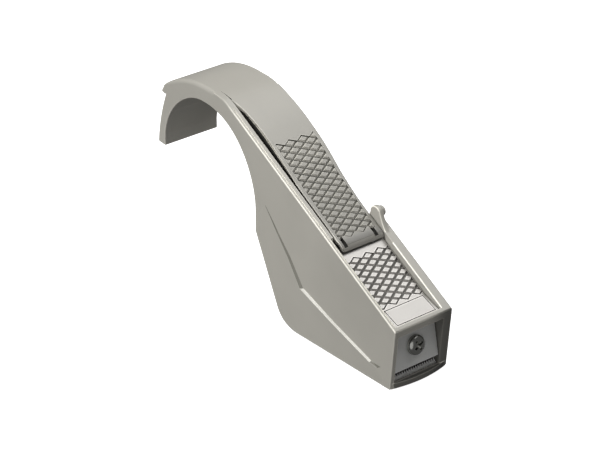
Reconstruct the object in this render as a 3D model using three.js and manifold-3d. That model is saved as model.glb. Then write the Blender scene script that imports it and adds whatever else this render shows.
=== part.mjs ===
// Hand-held dispenser for 25.4 mm filament tape: a moulded frame that ends in a hook,
// a springy palm strip, a metal thumb plate over a guide roller, and a cutter in the nose.
// Millimetres, +X towards the nose, +Y towards the open right side, +Z up.
// The origin is the middle of the flat base.

import * as THREE from 'three';
import { mergeVertices } from 'three/addons/utils/BufferGeometryUtils.js';
import Module from 'manifold-3d';

const wasm = await Module();
wasm.setup();

// ---- driving dimensions -------------------------------------------------------------

const tapeWidth = 25.4;
const tapeClearance = 0.6;
const leftWall = 2.2;
const rightWall = 4.8;
const seam = 0.4; // running gap between neighbouring pieces

const baseLength = 62;
const deckHeight = 31.5; // height of the sloping deck line above the nose's foot
const deckAngle = 30; // degrees
const noseLean = 2.8; // how far the nose's top stands ahead of its foot
const backX = -91.5; // upright rear edge of the side plate, behind the nose's foot
const backLow = 40;
const backHigh = 52;
const bellyRadius = 10;

const hookRootX = -112; // where the palm strip leaves the hook
const hookRise = 98.2; // top of the arch
const archTopX = -129;
const archDepth = 7.7; // thickness of the arch at its top
const legX = -157.8; // inner face of the hook's leg
const legFoot = 57.5;
const legThickness = 5.2;
const legLean = 6; // how far the leg's back leans in over its height
const lipReach = 3.4; // rear lip of the top skin
const hookWidth = 30.6;
const backLean = 0.5; // how the rear edge leads into the arch
const backPull = 14;
const archFrontPull = 26; // fullness of the arch, towards the strip and towards the leg
const archBackPull = 13;
const legCurveX = 1.3;
const legCurveZ = 12.5;
const legStraight = 5; // straight inside of the leg above its foot
const legFootRise = 0.6; // outer corner of the foot above its inner one
const legBulge = 1.2;
const legBend = 14;
const lipDrop = 14.6; // rear lip below the top of the arch
const lipEase = 0.6;
const lipUnder = 0.4;
const lipNoseX = 1.4;
const lipNoseZ = 0.8;
const lipTopX = 3.4; // where the lip runs out into the top skin
const lipTopZ = 2.8;
const skinBackPull = 8; // fullness of the top skin
const skinBackDrop = 6;
const skinTopPull = 14;
const skinFrontPull = 1.5;

const stripThickness = 2.6;
const stripRise = 2.6; // how far the strip bows above the deck line
const stripBowX = -92;
const stripFlatX = -68;
const stripEndX = -35.9;
const stripLip = 2.2; // thickness of the rolled lip's end
const stripGap = 1.6; // travel left between the strip's rolled lip and the thumb plate
const stripTaperX = -50;
const slotLength = 5.8;
const slotWidth = 1.9;
const slotInset = 1.8;
const slotFromEnd = 3.4; // middle of the slots behind the strip's end
const stripRootPull = 6; // fullness of the bow at its two ends
const stripRootDrop = 2;
const stripBowPull = 6;
const stripBowFull = 3.6;
const stripSag = 0.5;
const stripRoll = 10; // length of the strip that rolls down into its lip
const stripRollPull = 5.5;
const stripLipPull = 3.3;
const stripShoulder = 0.6; // step out where the strip widens behind the ear
const stripShoulderRun = 4;
const stripWidening = 20;
const rimWall = 1.2; // thickening along the left plate's top edge
const rimDepth = 4.5;

const earX = -43.2;
const earRadius = 3.3;
const earLift = 2.56; // ear centre above the deck line
const earThickness = 2.7; // thinner than the wall; the boss fills the rest
const earRoot = 4; // how deep the ear is drawn into the wall
const earFlare = 9; // where the ear has run out into the deck line, ahead of its centre
const earBossRadius = 2.4;
const earFlareBend = 5.4; // where the flare is bent, ahead of the ear's centre
const wallFootX = -44; // rear foot of the right wall

const cheekHeight = 0.8; // raised cheek on the left plate
const cheekInset = 1.6;

const floorThickness = 2.4;
const floorBackX = -50;
const lipHeight = 3.0;
const lipDepth = 0.8;
const lipBulge = 2.2;
const barHeight = 3.5;
const barDepth = 1.9;

const thumbRecess = 3.3; // thumb plate below the deck line
const thumbThickness = 1.5;
const thumbBackX = -39.5;
const thumbBendX = -9.5;
const thumbFrontDrop = 1; // front edge below the deck line
const thumbHookDrop = 2.6; // turned-down rear edge
const thumbHookLean = 1;
const thumbHookFoot = 1.2;
const thumbHookRoot = 1.6;

const plateThickness = 1.2;
const plateFootZ = 7.4;
const plateTopZ = 25.6;
const plateFootX = 0.2;
const plateTopX = -3.4;
const screwZ = 16.6;
const screwRadius = 2.1;
const screwHeadRadius = 4.6;
const screwHeadHeight = 2.8;
const screwLength = 10;
const crossLength = 5.2;
const crossWidth = 1.2;
const crossDepth = 1.7;
const crossTurn = 0.5; // radians
const insertRadius = 3.1;
const insertLength = 6;
const insertSetBack = 0.4; // insert below the face of its block
const blockBackX = -12.5;
const blockLow = 11.4;
const blockHigh = 22.4;

const bladeThickness = 0.8;
const bladeGroove = 1.3;
const bladeTipZ = 5.3;
const toothPitch = 1.4;
const toothHeight = 1.3;

const rollerRadius = 5.5;
const rollerX = -25;
const thumbTravel = 1.9; // gap between roller and thumb plate
const axleRadius = 1.5;
const axleSeatLeft = 1.0;
const axleSeatRight = 3.2;

// ---- positions worked out from them -------------------------------------------------

const width = leftWall + tapeWidth + tapeClearance + rightWall;
const yLeft = -width / 2;
const yRight = width / 2;
const channelLeft = yLeft + leftWall;
const channelRight = yRight - rightWall;
const channelMid = (channelLeft + channelRight) / 2;
const hookRight = yLeft + hookWidth;
const stripLeft = channelLeft + rimWall + seam;
const stripRight = channelRight - seam;
const deckSlope = Math.tan(THREE.MathUtils.degToRad(deckAngle));
const deck = (x) => deckHeight - deckSlope * x;
const thumbTop = (x) => deck(x) - thumbRecess;
const archInnerZ = hookRise - archDepth;
const earZ = deck(earX) + earLift;
const bladeX = -lipDepth - seam - bladeThickness / 2;
const rollerZ = thumbTop(rollerX)
  - (thumbThickness + thumbTravel + rollerRadius) / Math.cos(Math.atan(deckSlope));
const plateLean = Math.atan2(plateFootX - plateTopX, plateTopZ - plateFootZ);
const plateFaceX = (z) => plateFootX - Math.tan(plateLean) * (z - plateFootZ);

// ---- solids -------------------------------------------------------------------------

function toSolid(geometry) {
  const bare = geometry.clone();
  bare.deleteAttribute('normal');
  bare.deleteAttribute('uv');
  const merged = mergeVertices(bare, 1e-4);
  return new wasm.Manifold(new wasm.Mesh({
    numProp: 3,
    vertProperties: new Float32Array(merged.attributes.position.array),
    triVerts: new Uint32Array(merged.index.array),
  }));
}

function toGeometry(solid) {
  const mesh = solid.getMesh();
  const geometry = new THREE.BufferGeometry();
  geometry.setAttribute('position', new THREE.BufferAttribute(mesh.vertProperties, 3));
  geometry.setIndex(new THREE.BufferAttribute(mesh.triVerts, 1));
  geometry.computeVertexNormals();
  return geometry;
}

// A side outline in (x, z), as thick as the span from yFrom to yTo.
function sideSlab(shape, yFrom, yTo, curveSegments = 10) {
  const geometry = new THREE.ExtrudeGeometry(shape, {
    depth: yTo - yFrom, bevelEnabled: false, curveSegments,
  });
  geometry.rotateX(Math.PI / 2);
  geometry.translate(0, yTo, 0);
  return toSolid(geometry);
}

// A plan outline in (x, y), as tall as the span from zFrom to zTo.
function planSlab(shape, zFrom, zTo, curveSegments = 12) {
  const geometry = new THREE.ExtrudeGeometry(shape, {
    depth: zTo - zFrom, bevelEnabled: false, curveSegments,
  });
  geometry.translate(0, 0, zFrom);
  return toSolid(geometry);
}

function outline(points) {
  return new THREE.Shape(points.map(([x, z]) => new THREE.Vector2(x, z)));
}

// A round bar along Y.
function crossBar(radius, x, z, yFrom, yTo, segments = 28) {
  const geometry = new THREE.CylinderGeometry(radius, radius, yTo - yFrom, segments);
  geometry.translate(x, (yFrom + yTo) / 2, z);
  return toSolid(geometry);
}

// Turns a shape made along +X, from the origin, into the front plate's own direction.
function alongScrew(geometry) {
  geometry.rotateY(-plateLean);
  geometry.translate(plateFaceX(screwZ), channelMid, screwZ);
  return geometry;
}

function screwBar(radius, from, to, segments = 28) {
  const geometry = new THREE.CylinderGeometry(radius, radius, to - from, segments);
  geometry.rotateZ(-Math.PI / 2);
  geometry.translate((from + to) / 2, 0, 0);
  return toSolid(alongScrew(geometry));
}

// ---- frame --------------------------------------------------------------------------

function drawInnerArch(shape) {
  shape.bezierCurveTo(backX - backLean, backHigh + backPull, archTopX + archFrontPull, archInnerZ,
    archTopX, archInnerZ);
  shape.bezierCurveTo(archTopX - archBackPull, archInnerZ, legX + legCurveX, archInnerZ - legCurveZ,
    legX, legFoot + legStraight);
  shape.lineTo(legX, legFoot);
}

function drawLegAndSkin(shape) {
  const legBackX = legX - legThickness;
  const lipZ = hookRise - lipDrop;
  const leanX = legBackX + legLean;
  const lipX = leanX - lipReach;
  shape.lineTo(legBackX, legFoot + legFootRise);
  shape.quadraticCurveTo(legBackX + legBulge, legFoot + legBend, leanX + lipEase, lipZ + lipEase);
  shape.lineTo(lipX - lipEase, lipZ - lipUnder);
  shape.quadraticCurveTo(lipX - lipNoseX, lipZ + lipNoseZ, legBackX + lipTopX, lipZ + lipTopZ);
  shape.bezierCurveTo(legBackX + skinBackPull, hookRise - skinBackDrop, archTopX - skinTopPull, hookRise,
    archTopX, hookRise);
  shape.quadraticCurveTo((archTopX + hookRootX) / 2 + skinFrontPull, hookRise,
    hookRootX, deck(hookRootX));
}

function leftPlateShape() {
  const shape = new THREE.Shape();
  const slopeX = -baseLength - bellyRadius * 1.35;
  shape.moveTo(noseLean, deck(noseLean));
  shape.lineTo(0, 0);
  shape.lineTo(-baseLength, 0);
  shape.quadraticCurveTo(slopeX + 2.5, 0, slopeX - 1.2, bellyRadius * 0.85);
  shape.lineTo(backX, backLow);
  shape.lineTo(backX, backHigh);
  drawInnerArch(shape);
  drawLegAndSkin(shape);
  return shape;
}

function hookShape() {
  const shape = new THREE.Shape();
  const rootX = hookRootX - seam / 2;
  shape.moveTo(rootX, deck(hookRootX) - 0.1);
  shape.lineTo(rootX, deck(hookRootX) - stripThickness - 0.6);
  shape.lineTo(hookRootX - 8, archInnerZ - 1.2);
  shape.quadraticCurveTo(archTopX + 4, archInnerZ, archTopX, archInnerZ);
  shape.bezierCurveTo(archTopX - archBackPull, archInnerZ, legX + legCurveX, archInnerZ - legCurveZ,
    legX, legFoot + legStraight);
  shape.lineTo(legX, legFoot);
  drawLegAndSkin(shape);
  return shape;
}

function rimShape() {
  const back = hookRootX + 2;
  const front = thumbBackX - 2.5;
  return outline([
    [front, deck(front)], [back, deck(back)],
    [back, deck(back) - rimDepth], [front, deck(front) - rimDepth],
  ]);
}

function rightWallShape() {
  const backTopX = earX - earRadius;
  return outline([
    [0, 0], [noseLean, deck(noseLean)], [backTopX, deck(backTopX)], [wallFootX, 0],
  ]);
}

function earShape() {
  const shape = new THREE.Shape();
  const frontX = earX + earFlare;
  const backTopX = earX - earRadius;
  const startAngle = 0.5;
  shape.moveTo(backTopX, deck(backTopX) - earRoot);
  shape.lineTo(frontX, deck(frontX) - earRoot);
  shape.lineTo(frontX, deck(frontX) - seam);
  shape.quadraticCurveTo(earX + earFlareBend, deck(earX + earFlareBend),
    earX + earRadius * Math.cos(startAngle), earZ + earRadius * Math.sin(startAngle));
  shape.absarc(earX, earZ, earRadius, startAngle, Math.PI, false);
  return shape;
}

function cheekShape() {
  const footZ = cheekInset;
  const backFootX = -baseLength - bellyRadius * 0.6;
  return outline([
    [backX + 7, deck(backX) - 30], [backX + 2 * cheekInset, backLow - 3],
    [backFootX - 3, bellyRadius], [backFootX + 3, footZ + 1],
    [-baseLength + cheekInset, footZ], [-10, footZ], [-5.5, footZ + 4.5],
    [-8, 8.4], [-12.3, 8.9], [-56.5, 25.2],
  ]);
}

function noseFloor() {
  const slab = outline([
    [0, 0], [floorBackX, 0], [floorBackX, floorThickness], [0, floorThickness],
  ]);
  const lip = new THREE.Shape();
  lip.moveTo(-lipDepth, yLeft);
  lip.lineTo(0, yLeft);
  lip.quadraticCurveTo(2 * lipBulge, 0, 0, yRight);
  lip.lineTo(-lipDepth, yRight);
  return sideSlab(slab, yLeft, yRight).add(planSlab(lip, 0, lipHeight));
}

function topBar() {
  const low = deck(noseLean) - barHeight;
  const frontLow = noseLean * low / deck(noseLean);
  return sideSlab(outline([
    [noseLean, deck(noseLean)], [noseLean - barDepth, deck(noseLean - barDepth)],
    [frontLow - barDepth, low], [frontLow, low],
  ]), yLeft, yRight);
}

function screwBlock() {
  const setBack = (plateThickness + seam) / Math.cos(plateLean);
  return sideSlab(outline([
    [blockBackX, blockLow], [plateFaceX(blockLow) - setBack, blockLow],
    [plateFaceX(blockHigh) - setBack, blockHigh], [blockBackX, blockHigh],
  ]), channelLeft - 0.1, channelRight + 0.1);
}

function makeFrame() {
  let body = sideSlab(leftPlateShape(), yLeft, channelLeft, 14)
    .add(sideSlab(hookShape(), yLeft, hookRight, 14))
    .add(sideSlab(rimShape(), channelLeft - 0.1, channelLeft + rimWall))
    .add(sideSlab(rightWallShape(), channelRight, yRight))
    .add(sideSlab(cheekShape(), yLeft - cheekHeight, yLeft + 0.1))
    .add(noseFloor())
    .add(topBar())
    .add(screwBlock())
    .add(sideSlab(earShape(), channelRight, channelRight + earThickness))
    .add(crossBar(earBossRadius, earX, earZ, channelRight + earThickness - 0.1, yRight, 20));
  const insertHole = screwBar(insertRadius + seam * 0.75, blockBackX * 2, 0);
  const axleHole = crossBar(axleRadius + seam * 0.75, rollerX, rollerZ,
    channelLeft - axleSeatLeft - seam, channelRight + axleSeatRight + seam);
  const groove = toSolid(new THREE.BoxGeometry(
    bladeThickness + 2 * seam, channelRight - channelLeft, bladeGroove * 2,
  ).translate(bladeX, channelMid, floorThickness));
  body = body.subtract(insertHole).subtract(axleHole).subtract(groove);
  return body;
}

// ---- palm strip ---------------------------------------------------------------------

function stripShape() {
  const shape = new THREE.Shape();
  const rootX = hookRootX + seam / 2;
  const rootZ = deck(hookRootX) - 0.1;
  const bowZ = deck(stripBowX) + stripRise;
  const flatZ = deck(stripFlatX) + 0.2;
  const midX = (stripBowX + stripFlatX) / 2;
  const midZ = (bowZ + flatZ) / 2 + stripSag;
  const rollX = stripEndX - stripRoll;
  const endZ = thumbTop(stripEndX) + stripGap;
  const under = stripThickness / Math.cos(Math.atan(deckSlope));
  shape.moveTo(rootX, rootZ);
  shape.bezierCurveTo(hookRootX + stripRootPull, rootZ - stripRootDrop,
    stripBowX - stripBowPull, bowZ + stripBowFull, stripBowX, bowZ);
  shape.quadraticCurveTo(midX, midZ, stripFlatX, flatZ);
  shape.lineTo(rollX, deck(rollX));
  shape.bezierCurveTo(rollX + stripRollPull, deck(rollX + stripRollPull),
    stripEndX, endZ + stripLipPull, stripEndX, endZ);
  const lipBack = endZ + stripLip * deckSlope;
  shape.lineTo(stripEndX - stripLip, lipBack);
  shape.quadraticCurveTo(stripEndX - stripLip - 1.2, lipBack + 1.5,
    rollX - 1, deck(rollX - 1) - under);
  shape.lineTo(stripFlatX, flatZ - under);
  shape.quadraticCurveTo(midX, midZ - under, stripBowX, bowZ - under);
  shape.bezierCurveTo(stripBowX - stripBowPull, bowZ + stripBowFull - under,
    hookRootX + stripRootPull, rootZ - stripRootDrop - under, rootX, rootZ - stripThickness);
  return shape;
}

function stripPlan() {
  const wide = hookRight;
  return outline([
    [hookRootX - 1, stripLeft], [stripEndX + 2, stripLeft], [stripEndX + 2, stripRight],
    [stripTaperX, stripRight], [stripTaperX - stripShoulderRun, stripRight + stripShoulder],
    [stripTaperX - stripWidening, wide], [hookRootX - 1, wide],
  ]);
}

function slotCutter(yFrom) {
  const midX = stripEndX - slotFromEnd;
  const cutter = new THREE.BoxGeometry(slotLength, slotWidth, 30);
  cutter.translate(midX, yFrom + slotWidth / 2, deck(midX));
  return toSolid(cutter);
}

function makePalmStrip() {
  return sideSlab(stripShape(), stripLeft, hookRight, 10)
    .intersect(planSlab(stripPlan(), 0, hookRise + 10))
    .subtract(slotCutter(stripLeft + slotInset))
    .subtract(slotCutter(stripRight - slotInset - slotWidth));
}

// ---- thumb plate --------------------------------------------------------------------

function makeThumbPlate() {
  const frontX = noseLean - barDepth - seam;
  const frontZ = deck(frontX) - seam - thumbFrontDrop;
  const hookZ = thumbTop(thumbBackX) - thumbHookDrop;
  const shape = outline([
    [frontX, frontZ], [thumbBendX, thumbTop(thumbBendX)], [thumbBackX, thumbTop(thumbBackX)],
    [thumbBackX - thumbHookLean, hookZ], [thumbBackX + thumbHookFoot, hookZ],
    [thumbBackX + thumbHookRoot, thumbTop(thumbBackX + thumbHookRoot) - thumbThickness * 1.15],
    [thumbBendX, thumbTop(thumbBendX) - thumbThickness * 1.15],
    [frontX, frontZ - thumbThickness * 1.15],
  ].reverse());
  return sideSlab(shape, channelLeft + seam, channelRight - seam);
}

// ---- nose hardware ------------------------------------------------------------------

function makeFrontPlate() {
  const back = plateThickness / Math.cos(plateLean);
  const plate = sideSlab(outline([
    [plateFaceX(plateFootZ), plateFootZ], [plateFaceX(plateTopZ), plateTopZ],
    [plateFaceX(plateTopZ) - back, plateTopZ], [plateFaceX(plateFootZ) - back, plateFootZ],
  ]), channelLeft + seam, channelRight - seam);
  return plate.subtract(screwBar(screwRadius + seam, -5, 5));
}

function makeScrew() {
  const start = seam;
  const profile = [
    [0, start + screwHeadHeight], [screwHeadRadius * 0.5, start + screwHeadHeight * 0.96],
    [screwHeadRadius * 0.82, start + screwHeadHeight * 0.76],
    [screwHeadRadius * 0.97, start + screwHeadHeight * 0.45],
    [screwHeadRadius, start + 0.4], [screwHeadRadius * 0.98, start],
    [screwRadius, start], [screwRadius, -screwLength + 1], [screwRadius - 0.9, -screwLength],
    [0, -screwLength],
  ].map(([r, h]) => new THREE.Vector2(r, h)).reverse();
  const body = new THREE.LatheGeometry(profile, 28);
  body.rotateZ(-Math.PI / 2);
  const top = start + screwHeadHeight;
  const arms = [0, Math.PI / 2].map((turn) => {
    const arm = new THREE.BoxGeometry(crossDepth * 2, crossLength, crossWidth);
    arm.translate(top, 0, 0);
    arm.rotateX(turn + crossTurn);
    return toSolid(alongScrew(arm));
  });
  return toSolid(alongScrew(body)).subtract(arms[0]).subtract(arms[1]);
}

function makeInsert() {
  const head = -(plateThickness + seam + insertSetBack);
  return screwBar(insertRadius, head - insertLength, head)
    .subtract(screwBar(screwRadius + seam, head - insertLength - 1, head + 1));
}

function makeBlade() {
  const left = channelLeft + seam;
  const right = channelRight - seam;
  const count = Math.floor((right - left) / toothPitch);
  const margin = (right - left - count * toothPitch) / 2;
  const shape = new THREE.Shape();
  const gum = bladeTipZ - toothHeight;
  shape.moveTo(left, floorThickness - bladeGroove + seam);
  shape.lineTo(right, floorThickness - bladeGroove + seam);
  shape.lineTo(right, gum);
  for (let tooth = count; tooth > 0; tooth -= 1) {
    shape.lineTo(left + margin + tooth * toothPitch, gum);
    shape.lineTo(left + margin + (tooth - 0.5) * toothPitch, bladeTipZ);
  }
  shape.lineTo(left + margin, gum);
  shape.lineTo(left, gum);
  const geometry = new THREE.ExtrudeGeometry(shape, { depth: bladeThickness, bevelEnabled: false });
  geometry.rotateX(Math.PI / 2);
  geometry.rotateZ(Math.PI / 2);
  geometry.translate(bladeX - bladeThickness / 2, 0, 0);
  return toSolid(geometry);
}

// ---- guide roller -------------------------------------------------------------------

function makeRoller() {
  const yFrom = channelLeft + 2 * seam;
  const yTo = channelRight - 2 * seam;
  return crossBar(rollerRadius, rollerX, rollerZ, yFrom, yTo, 32)
    .subtract(crossBar(axleRadius + seam * 0.75, rollerX, rollerZ, yFrom - 1, yTo + 1, 20));
}

function makeAxle() {
  return crossBar(axleRadius, rollerX, rollerZ,
    channelLeft - axleSeatLeft, channelRight + axleSeatRight, 20);
}

// ---- assembly -----------------------------------------------------------------------

const finishes = {
  moulding: { color: 0x9d9c91, roughness: 0.55, metalness: 0.0 },
  satinSteel: { color: 0xd9d4ce, roughness: 0.35, metalness: 0.9 },
  brushedSteel: { color: 0x8e8e8a, roughness: 0.4, metalness: 1.0 },
  bladeSteel: { color: 0xa8a8a4, roughness: 0.3, metalness: 1.0 },
  chromed: { color: 0xd0d0cc, roughness: 0.12, metalness: 1.0 },
  brass: { color: 0xb5924c, roughness: 0.35, metalness: 1.0 },
  rollerWhite: { color: 0xd8d6cc, roughness: 0.5, metalness: 0.0 },
};

const pieces = [
  ['frame', makeFrame(), finishes.moulding],
  ['palm_strip', makePalmStrip(), finishes.moulding],
  ['thumb_plate', makeThumbPlate(), finishes.satinSteel],
  ['front_plate', makeFrontPlate(), finishes.brushedSteel],
  ['clamp_screw', makeScrew(), finishes.chromed],
  ['screw_insert', makeInsert(), finishes.brass],
  ['cutter_blade', makeBlade(), finishes.bladeSteel],
  ['guide_roller', makeRoller(), finishes.rollerWhite],
  ['roller_axle', makeAxle(), finishes.brushedSteel],
];

const dispenser = new THREE.Group();
const assembly = new THREE.Group();
assembly.position.x = baseLength / 2;
for (const [name, solid, finish] of pieces) {
  const mesh = new THREE.Mesh(toGeometry(solid), new THREE.MeshStandardMaterial(finish));
  mesh.name = name;
  assembly.add(mesh);
}
dispenser.add(assembly);

export default dispenser;
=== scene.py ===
"""Finished looks of a hand-held dispenser for filament tape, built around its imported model.

Shapes are drawn in millimetres from the foot of the nose, with +X towards the nose, +Y towards the
open side and +Z up, and Datum turns them into the model's metres.
"""

from __future__ import annotations

import logging
import math
from dataclasses import dataclass, replace
from enum import Enum
from typing import Callable, Sequence

import bmesh
import bpy
from mathutils import Matrix, Vector

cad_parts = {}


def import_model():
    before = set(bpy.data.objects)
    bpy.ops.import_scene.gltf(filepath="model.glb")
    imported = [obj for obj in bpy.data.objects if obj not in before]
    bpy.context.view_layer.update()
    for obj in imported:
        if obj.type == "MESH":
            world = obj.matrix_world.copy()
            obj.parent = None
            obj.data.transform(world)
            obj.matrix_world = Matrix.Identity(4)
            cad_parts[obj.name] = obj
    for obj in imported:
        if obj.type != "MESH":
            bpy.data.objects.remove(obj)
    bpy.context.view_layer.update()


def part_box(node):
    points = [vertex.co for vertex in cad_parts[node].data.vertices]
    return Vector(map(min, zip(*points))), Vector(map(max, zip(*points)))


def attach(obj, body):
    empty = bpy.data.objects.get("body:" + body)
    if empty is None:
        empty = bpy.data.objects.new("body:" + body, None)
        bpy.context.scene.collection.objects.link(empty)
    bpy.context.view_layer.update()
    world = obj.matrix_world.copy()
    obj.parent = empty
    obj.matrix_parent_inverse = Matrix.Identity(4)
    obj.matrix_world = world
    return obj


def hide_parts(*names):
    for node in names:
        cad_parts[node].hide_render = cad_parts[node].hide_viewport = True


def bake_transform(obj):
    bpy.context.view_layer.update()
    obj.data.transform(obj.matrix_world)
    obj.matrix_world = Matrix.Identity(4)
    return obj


LOG = logging.getLogger("dispenser")
MM = 0.001
ACROSS = Vector((0, 1, 0))

Point = tuple[float, float]
Outline = list[Point]


class Body(Enum):
    """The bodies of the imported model."""

    FRAME = "frame_body"
    STRIP = "palm_strip_body"
    THUMB = "thumb_plate_body"
    ROLLER = "roller_body"


@dataclass(frozen=True)
class Datum:
    """Where the nose, the channel and the sloping deck lie, in millimetres from the nose's foot."""

    nose_foot: float
    left: float
    right: float
    channel_left: float
    channel_right: float
    deck_height: float = 31.5
    deck_angle: float = 30.0
    nose_lean: float = 2.8
    bar_depth: float = 1.9
    rim_wall: float = 1.2
    seam: float = 0.4
    plate_foot: float = 7.4
    plate_lead: float = 0.2
    plate_slope: float = 0.1978

    @classmethod
    def from_frame(cls) -> Datum:
        """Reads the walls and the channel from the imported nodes.

        Returns:
            The datum that every piece is drawn from.
        """
        seat_left, seat_right = 1.0, 3.2
        wall_left, wall_right = 2.2, 4.8
        axle_low, axle_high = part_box("roller_axle")
        channel_left = axle_low.y / MM + seat_left
        channel_right = axle_high.y / MM - seat_right
        return cls(
            nose_foot=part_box("front_plate")[1].x / MM - cls.plate_lead,
            left=channel_left - wall_left, right=channel_right + wall_right,
            channel_left=channel_left, channel_right=channel_right,
        )

    @property
    def slope(self) -> float:
        """Fall of the deck for each millimetre towards the nose."""
        return math.tan(math.radians(self.deck_angle))

    @property
    def bar_back(self) -> float:
        """The x of the rear edge of the bar over the nose."""
        return self.nose_lean - self.bar_depth

    @property
    def strip_left(self) -> float:
        """The y where the strip may begin, a seam away from the rim."""
        return self.channel_left + self.rim_wall + self.seam

    def deck(self, x: float) -> float:
        """Height of the deck line at x."""
        return self.deck_height - self.slope * x

    def plate_face(self, z: float) -> float:
        """The x of the front plate's face at z."""
        return self.plate_lead - self.plate_slope * (z - self.plate_foot)

    def place(self, x: float, y: float, z: float) -> Vector:
        """A point of the drawing, in the model's metres."""
        return Vector(((x + self.nose_foot) * MM, y * MM, z * MM))

    def x_of(self, a: Vector, b: Vector) -> float:
        """The drawing's x midway between two points in metres."""
        return (a.x + b.x) / 2 / MM - self.nose_foot


# ---- drawing helpers ----------------------------------------------------------------


def curve(steps: int, *controls: Point) -> Outline:
    """Points along the line or curve that a start, its control points and an end draw.

    Args:
        steps: Number of points.
        controls: The start, the points that pull the curve, and the end.

    Returns:
        The points after the start.
    """
    points = []
    for step in range(1, steps + 1):
        t = step / steps
        row = list(controls)
        while len(row) > 1:
            row = [(a[0] + (b[0] - a[0]) * t, a[1] + (b[1] - a[1]) * t) for a, b in zip(row, row[1:])]
        points.append(row[0])
    return points


def arc(centre: Point, radius: float, start: float, end: float, steps: int) -> Outline:
    """Points along an arc between two angles in radians, both ends included."""
    angles = [start + (end - start) * step / steps for step in range(steps + 1)]
    return [(centre[0] + radius * math.cos(a), centre[1] + radius * math.sin(a)) for a in angles]


def smooth_step(value: float, start: float, end: float) -> float:
    """Rises smoothly from 0 at start to 1 at end."""
    t = min(1.0, max(0.0, (value - start) / (end - start)))
    return t * t * (3 - 2 * t)


def to_object(name: str, bm: bmesh.types.BMesh) -> bpy.types.Object:
    """Links a mesh to the scene with its faces pointing outwards, and frees the mesh."""
    bmesh.ops.recalc_face_normals(bm, faces=bm.faces)
    mesh = bpy.data.meshes.new(name)
    bm.to_mesh(mesh)
    bm.free()
    piece = bpy.data.objects.new(name, mesh)
    bpy.context.scene.collection.objects.link(piece)
    return piece


def settle(piece: bpy.types.Object) -> bpy.types.Object:
    """Turns a piece's modifiers into plain mesh."""
    bpy.context.view_layer.update()
    graph = bpy.context.evaluated_depsgraph_get()
    mesh = bpy.data.meshes.new_from_object(piece.evaluated_get(graph))
    old = piece.data
    piece.modifiers.clear()
    piece.data = mesh
    bpy.data.meshes.remove(old)
    mesh.name = piece.name
    return piece


class Join(Enum):
    """How one solid meets another."""

    ADD = "UNION"
    CUT = "DIFFERENCE"


def combine(piece: bpy.types.Object, tool: bpy.types.Object, how: Join) -> bpy.types.Object:
    """Adds a second solid to a piece, or cuts it away.

    Args:
        piece: The solid that stays.
        tool: The solid that is used up.
        how: What the second solid does.

    Returns:
        The piece.
    """
    boolean = piece.modifiers.new("boolean", "BOOLEAN")
    boolean.operation = how.value
    boolean.solver = "MANIFOLD"
    boolean.material_mode = "TRANSFER"
    boolean.object = tool
    settle(piece)
    bpy.data.objects.remove(tool)
    return piece


def loft(name: str, rings: Sequence[Sequence[Vector]], split_ends: bool = False) -> bpy.types.Object:
    """A closed solid through rings of corners, with a face on the first ring and on the last.

    Args:
        name: Name of the new object.
        rings: The rings in metres, each with the same number of corners.
        split_ends: Whether the two end faces are cut into triangles.

    Returns:
        The new object.
    """
    bm = bmesh.new()
    rows = [[bm.verts.new(corner) for corner in ring] for ring in rings]
    for row, after in zip(rows, rows[1:]):
        for i in range(len(row)):
            j = (i + 1) % len(row)
            bm.faces.new((row[i], row[j], after[j], after[i]))
    for ring in (rows[0], rows[-1]):
        end = bm.faces.new(ring)
        if split_ends:
            bmesh.ops.triangulate(bm, faces=[end])
    return to_object(name, bm)


def slab(name: str, near: Sequence[Vector], far: Sequence[Vector]) -> bpy.types.Object:
    """A closed solid between two matching loops of corners in metres."""
    bm = bmesh.new()
    first = [bm.verts.new(corner) for corner in near]
    last = [bm.verts.new(corner) for corner in far]
    bm.faces.new(first)
    bm.faces.new(last[::-1])
    for i in range(len(first)):
        j = (i + 1) % len(first)
        bm.faces.new((first[i], last[i], last[j], first[j]))
    return to_object(name, bm)


def side_slab(
    datum: Datum, name: str, outline: Sequence[Point], y_from: float, y_to: float
) -> bpy.types.Object:
    """A side outline in (x, z), as thick as the span between two y."""
    return slab(name, *[[datum.place(x, y, z) for x, z in outline] for y in (y_from, y_to)])


def weigh_edges(
    piece: bpy.types.Object,
    radius_of: Callable[[Vector, Vector], float],
    largest: float,
    segments: int = 4,
) -> bpy.types.Object:
    """Rounds a piece's edges, each by its own radius.

    Args:
        piece: The piece, which keeps its flat faces.
        radius_of: Gives an edge's radius in millimetres from its two ends, in metres.
        largest: The largest radius that radius_of gives.
        segments: Number of facets across the rounding.

    Returns:
        The piece.
    """
    bm = bmesh.new()
    bm.from_mesh(piece.data)
    layer = bm.edges.layers.float.new("bevel_weight_edge")
    for edge in bm.edges:
        edge[layer] = radius_of(edge.verts[0].co, edge.verts[1].co) / largest
    bm.to_mesh(piece.data)
    bm.free()
    bevel = piece.modifiers.new("rounding", "BEVEL")
    bevel.limit_method = "WEIGHT"
    bevel.width = largest * MM
    bevel.segments = segments
    bevel.use_clamp_overlap = False
    return settle(piece)


def soften(
    piece: bpy.types.Object, radius: float, segments: int = 3, angle: float = 40.0
) -> bpy.types.Object:
    """Rounds every edge that is sharper than an angle in degrees."""
    bevel = piece.modifiers.new("rounding", "BEVEL")
    bevel.limit_method = "ANGLE"
    bevel.angle_limit = math.radians(angle)
    bevel.width = radius * MM
    bevel.segments = segments
    bevel.use_clamp_overlap = True
    return settle(piece)


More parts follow.
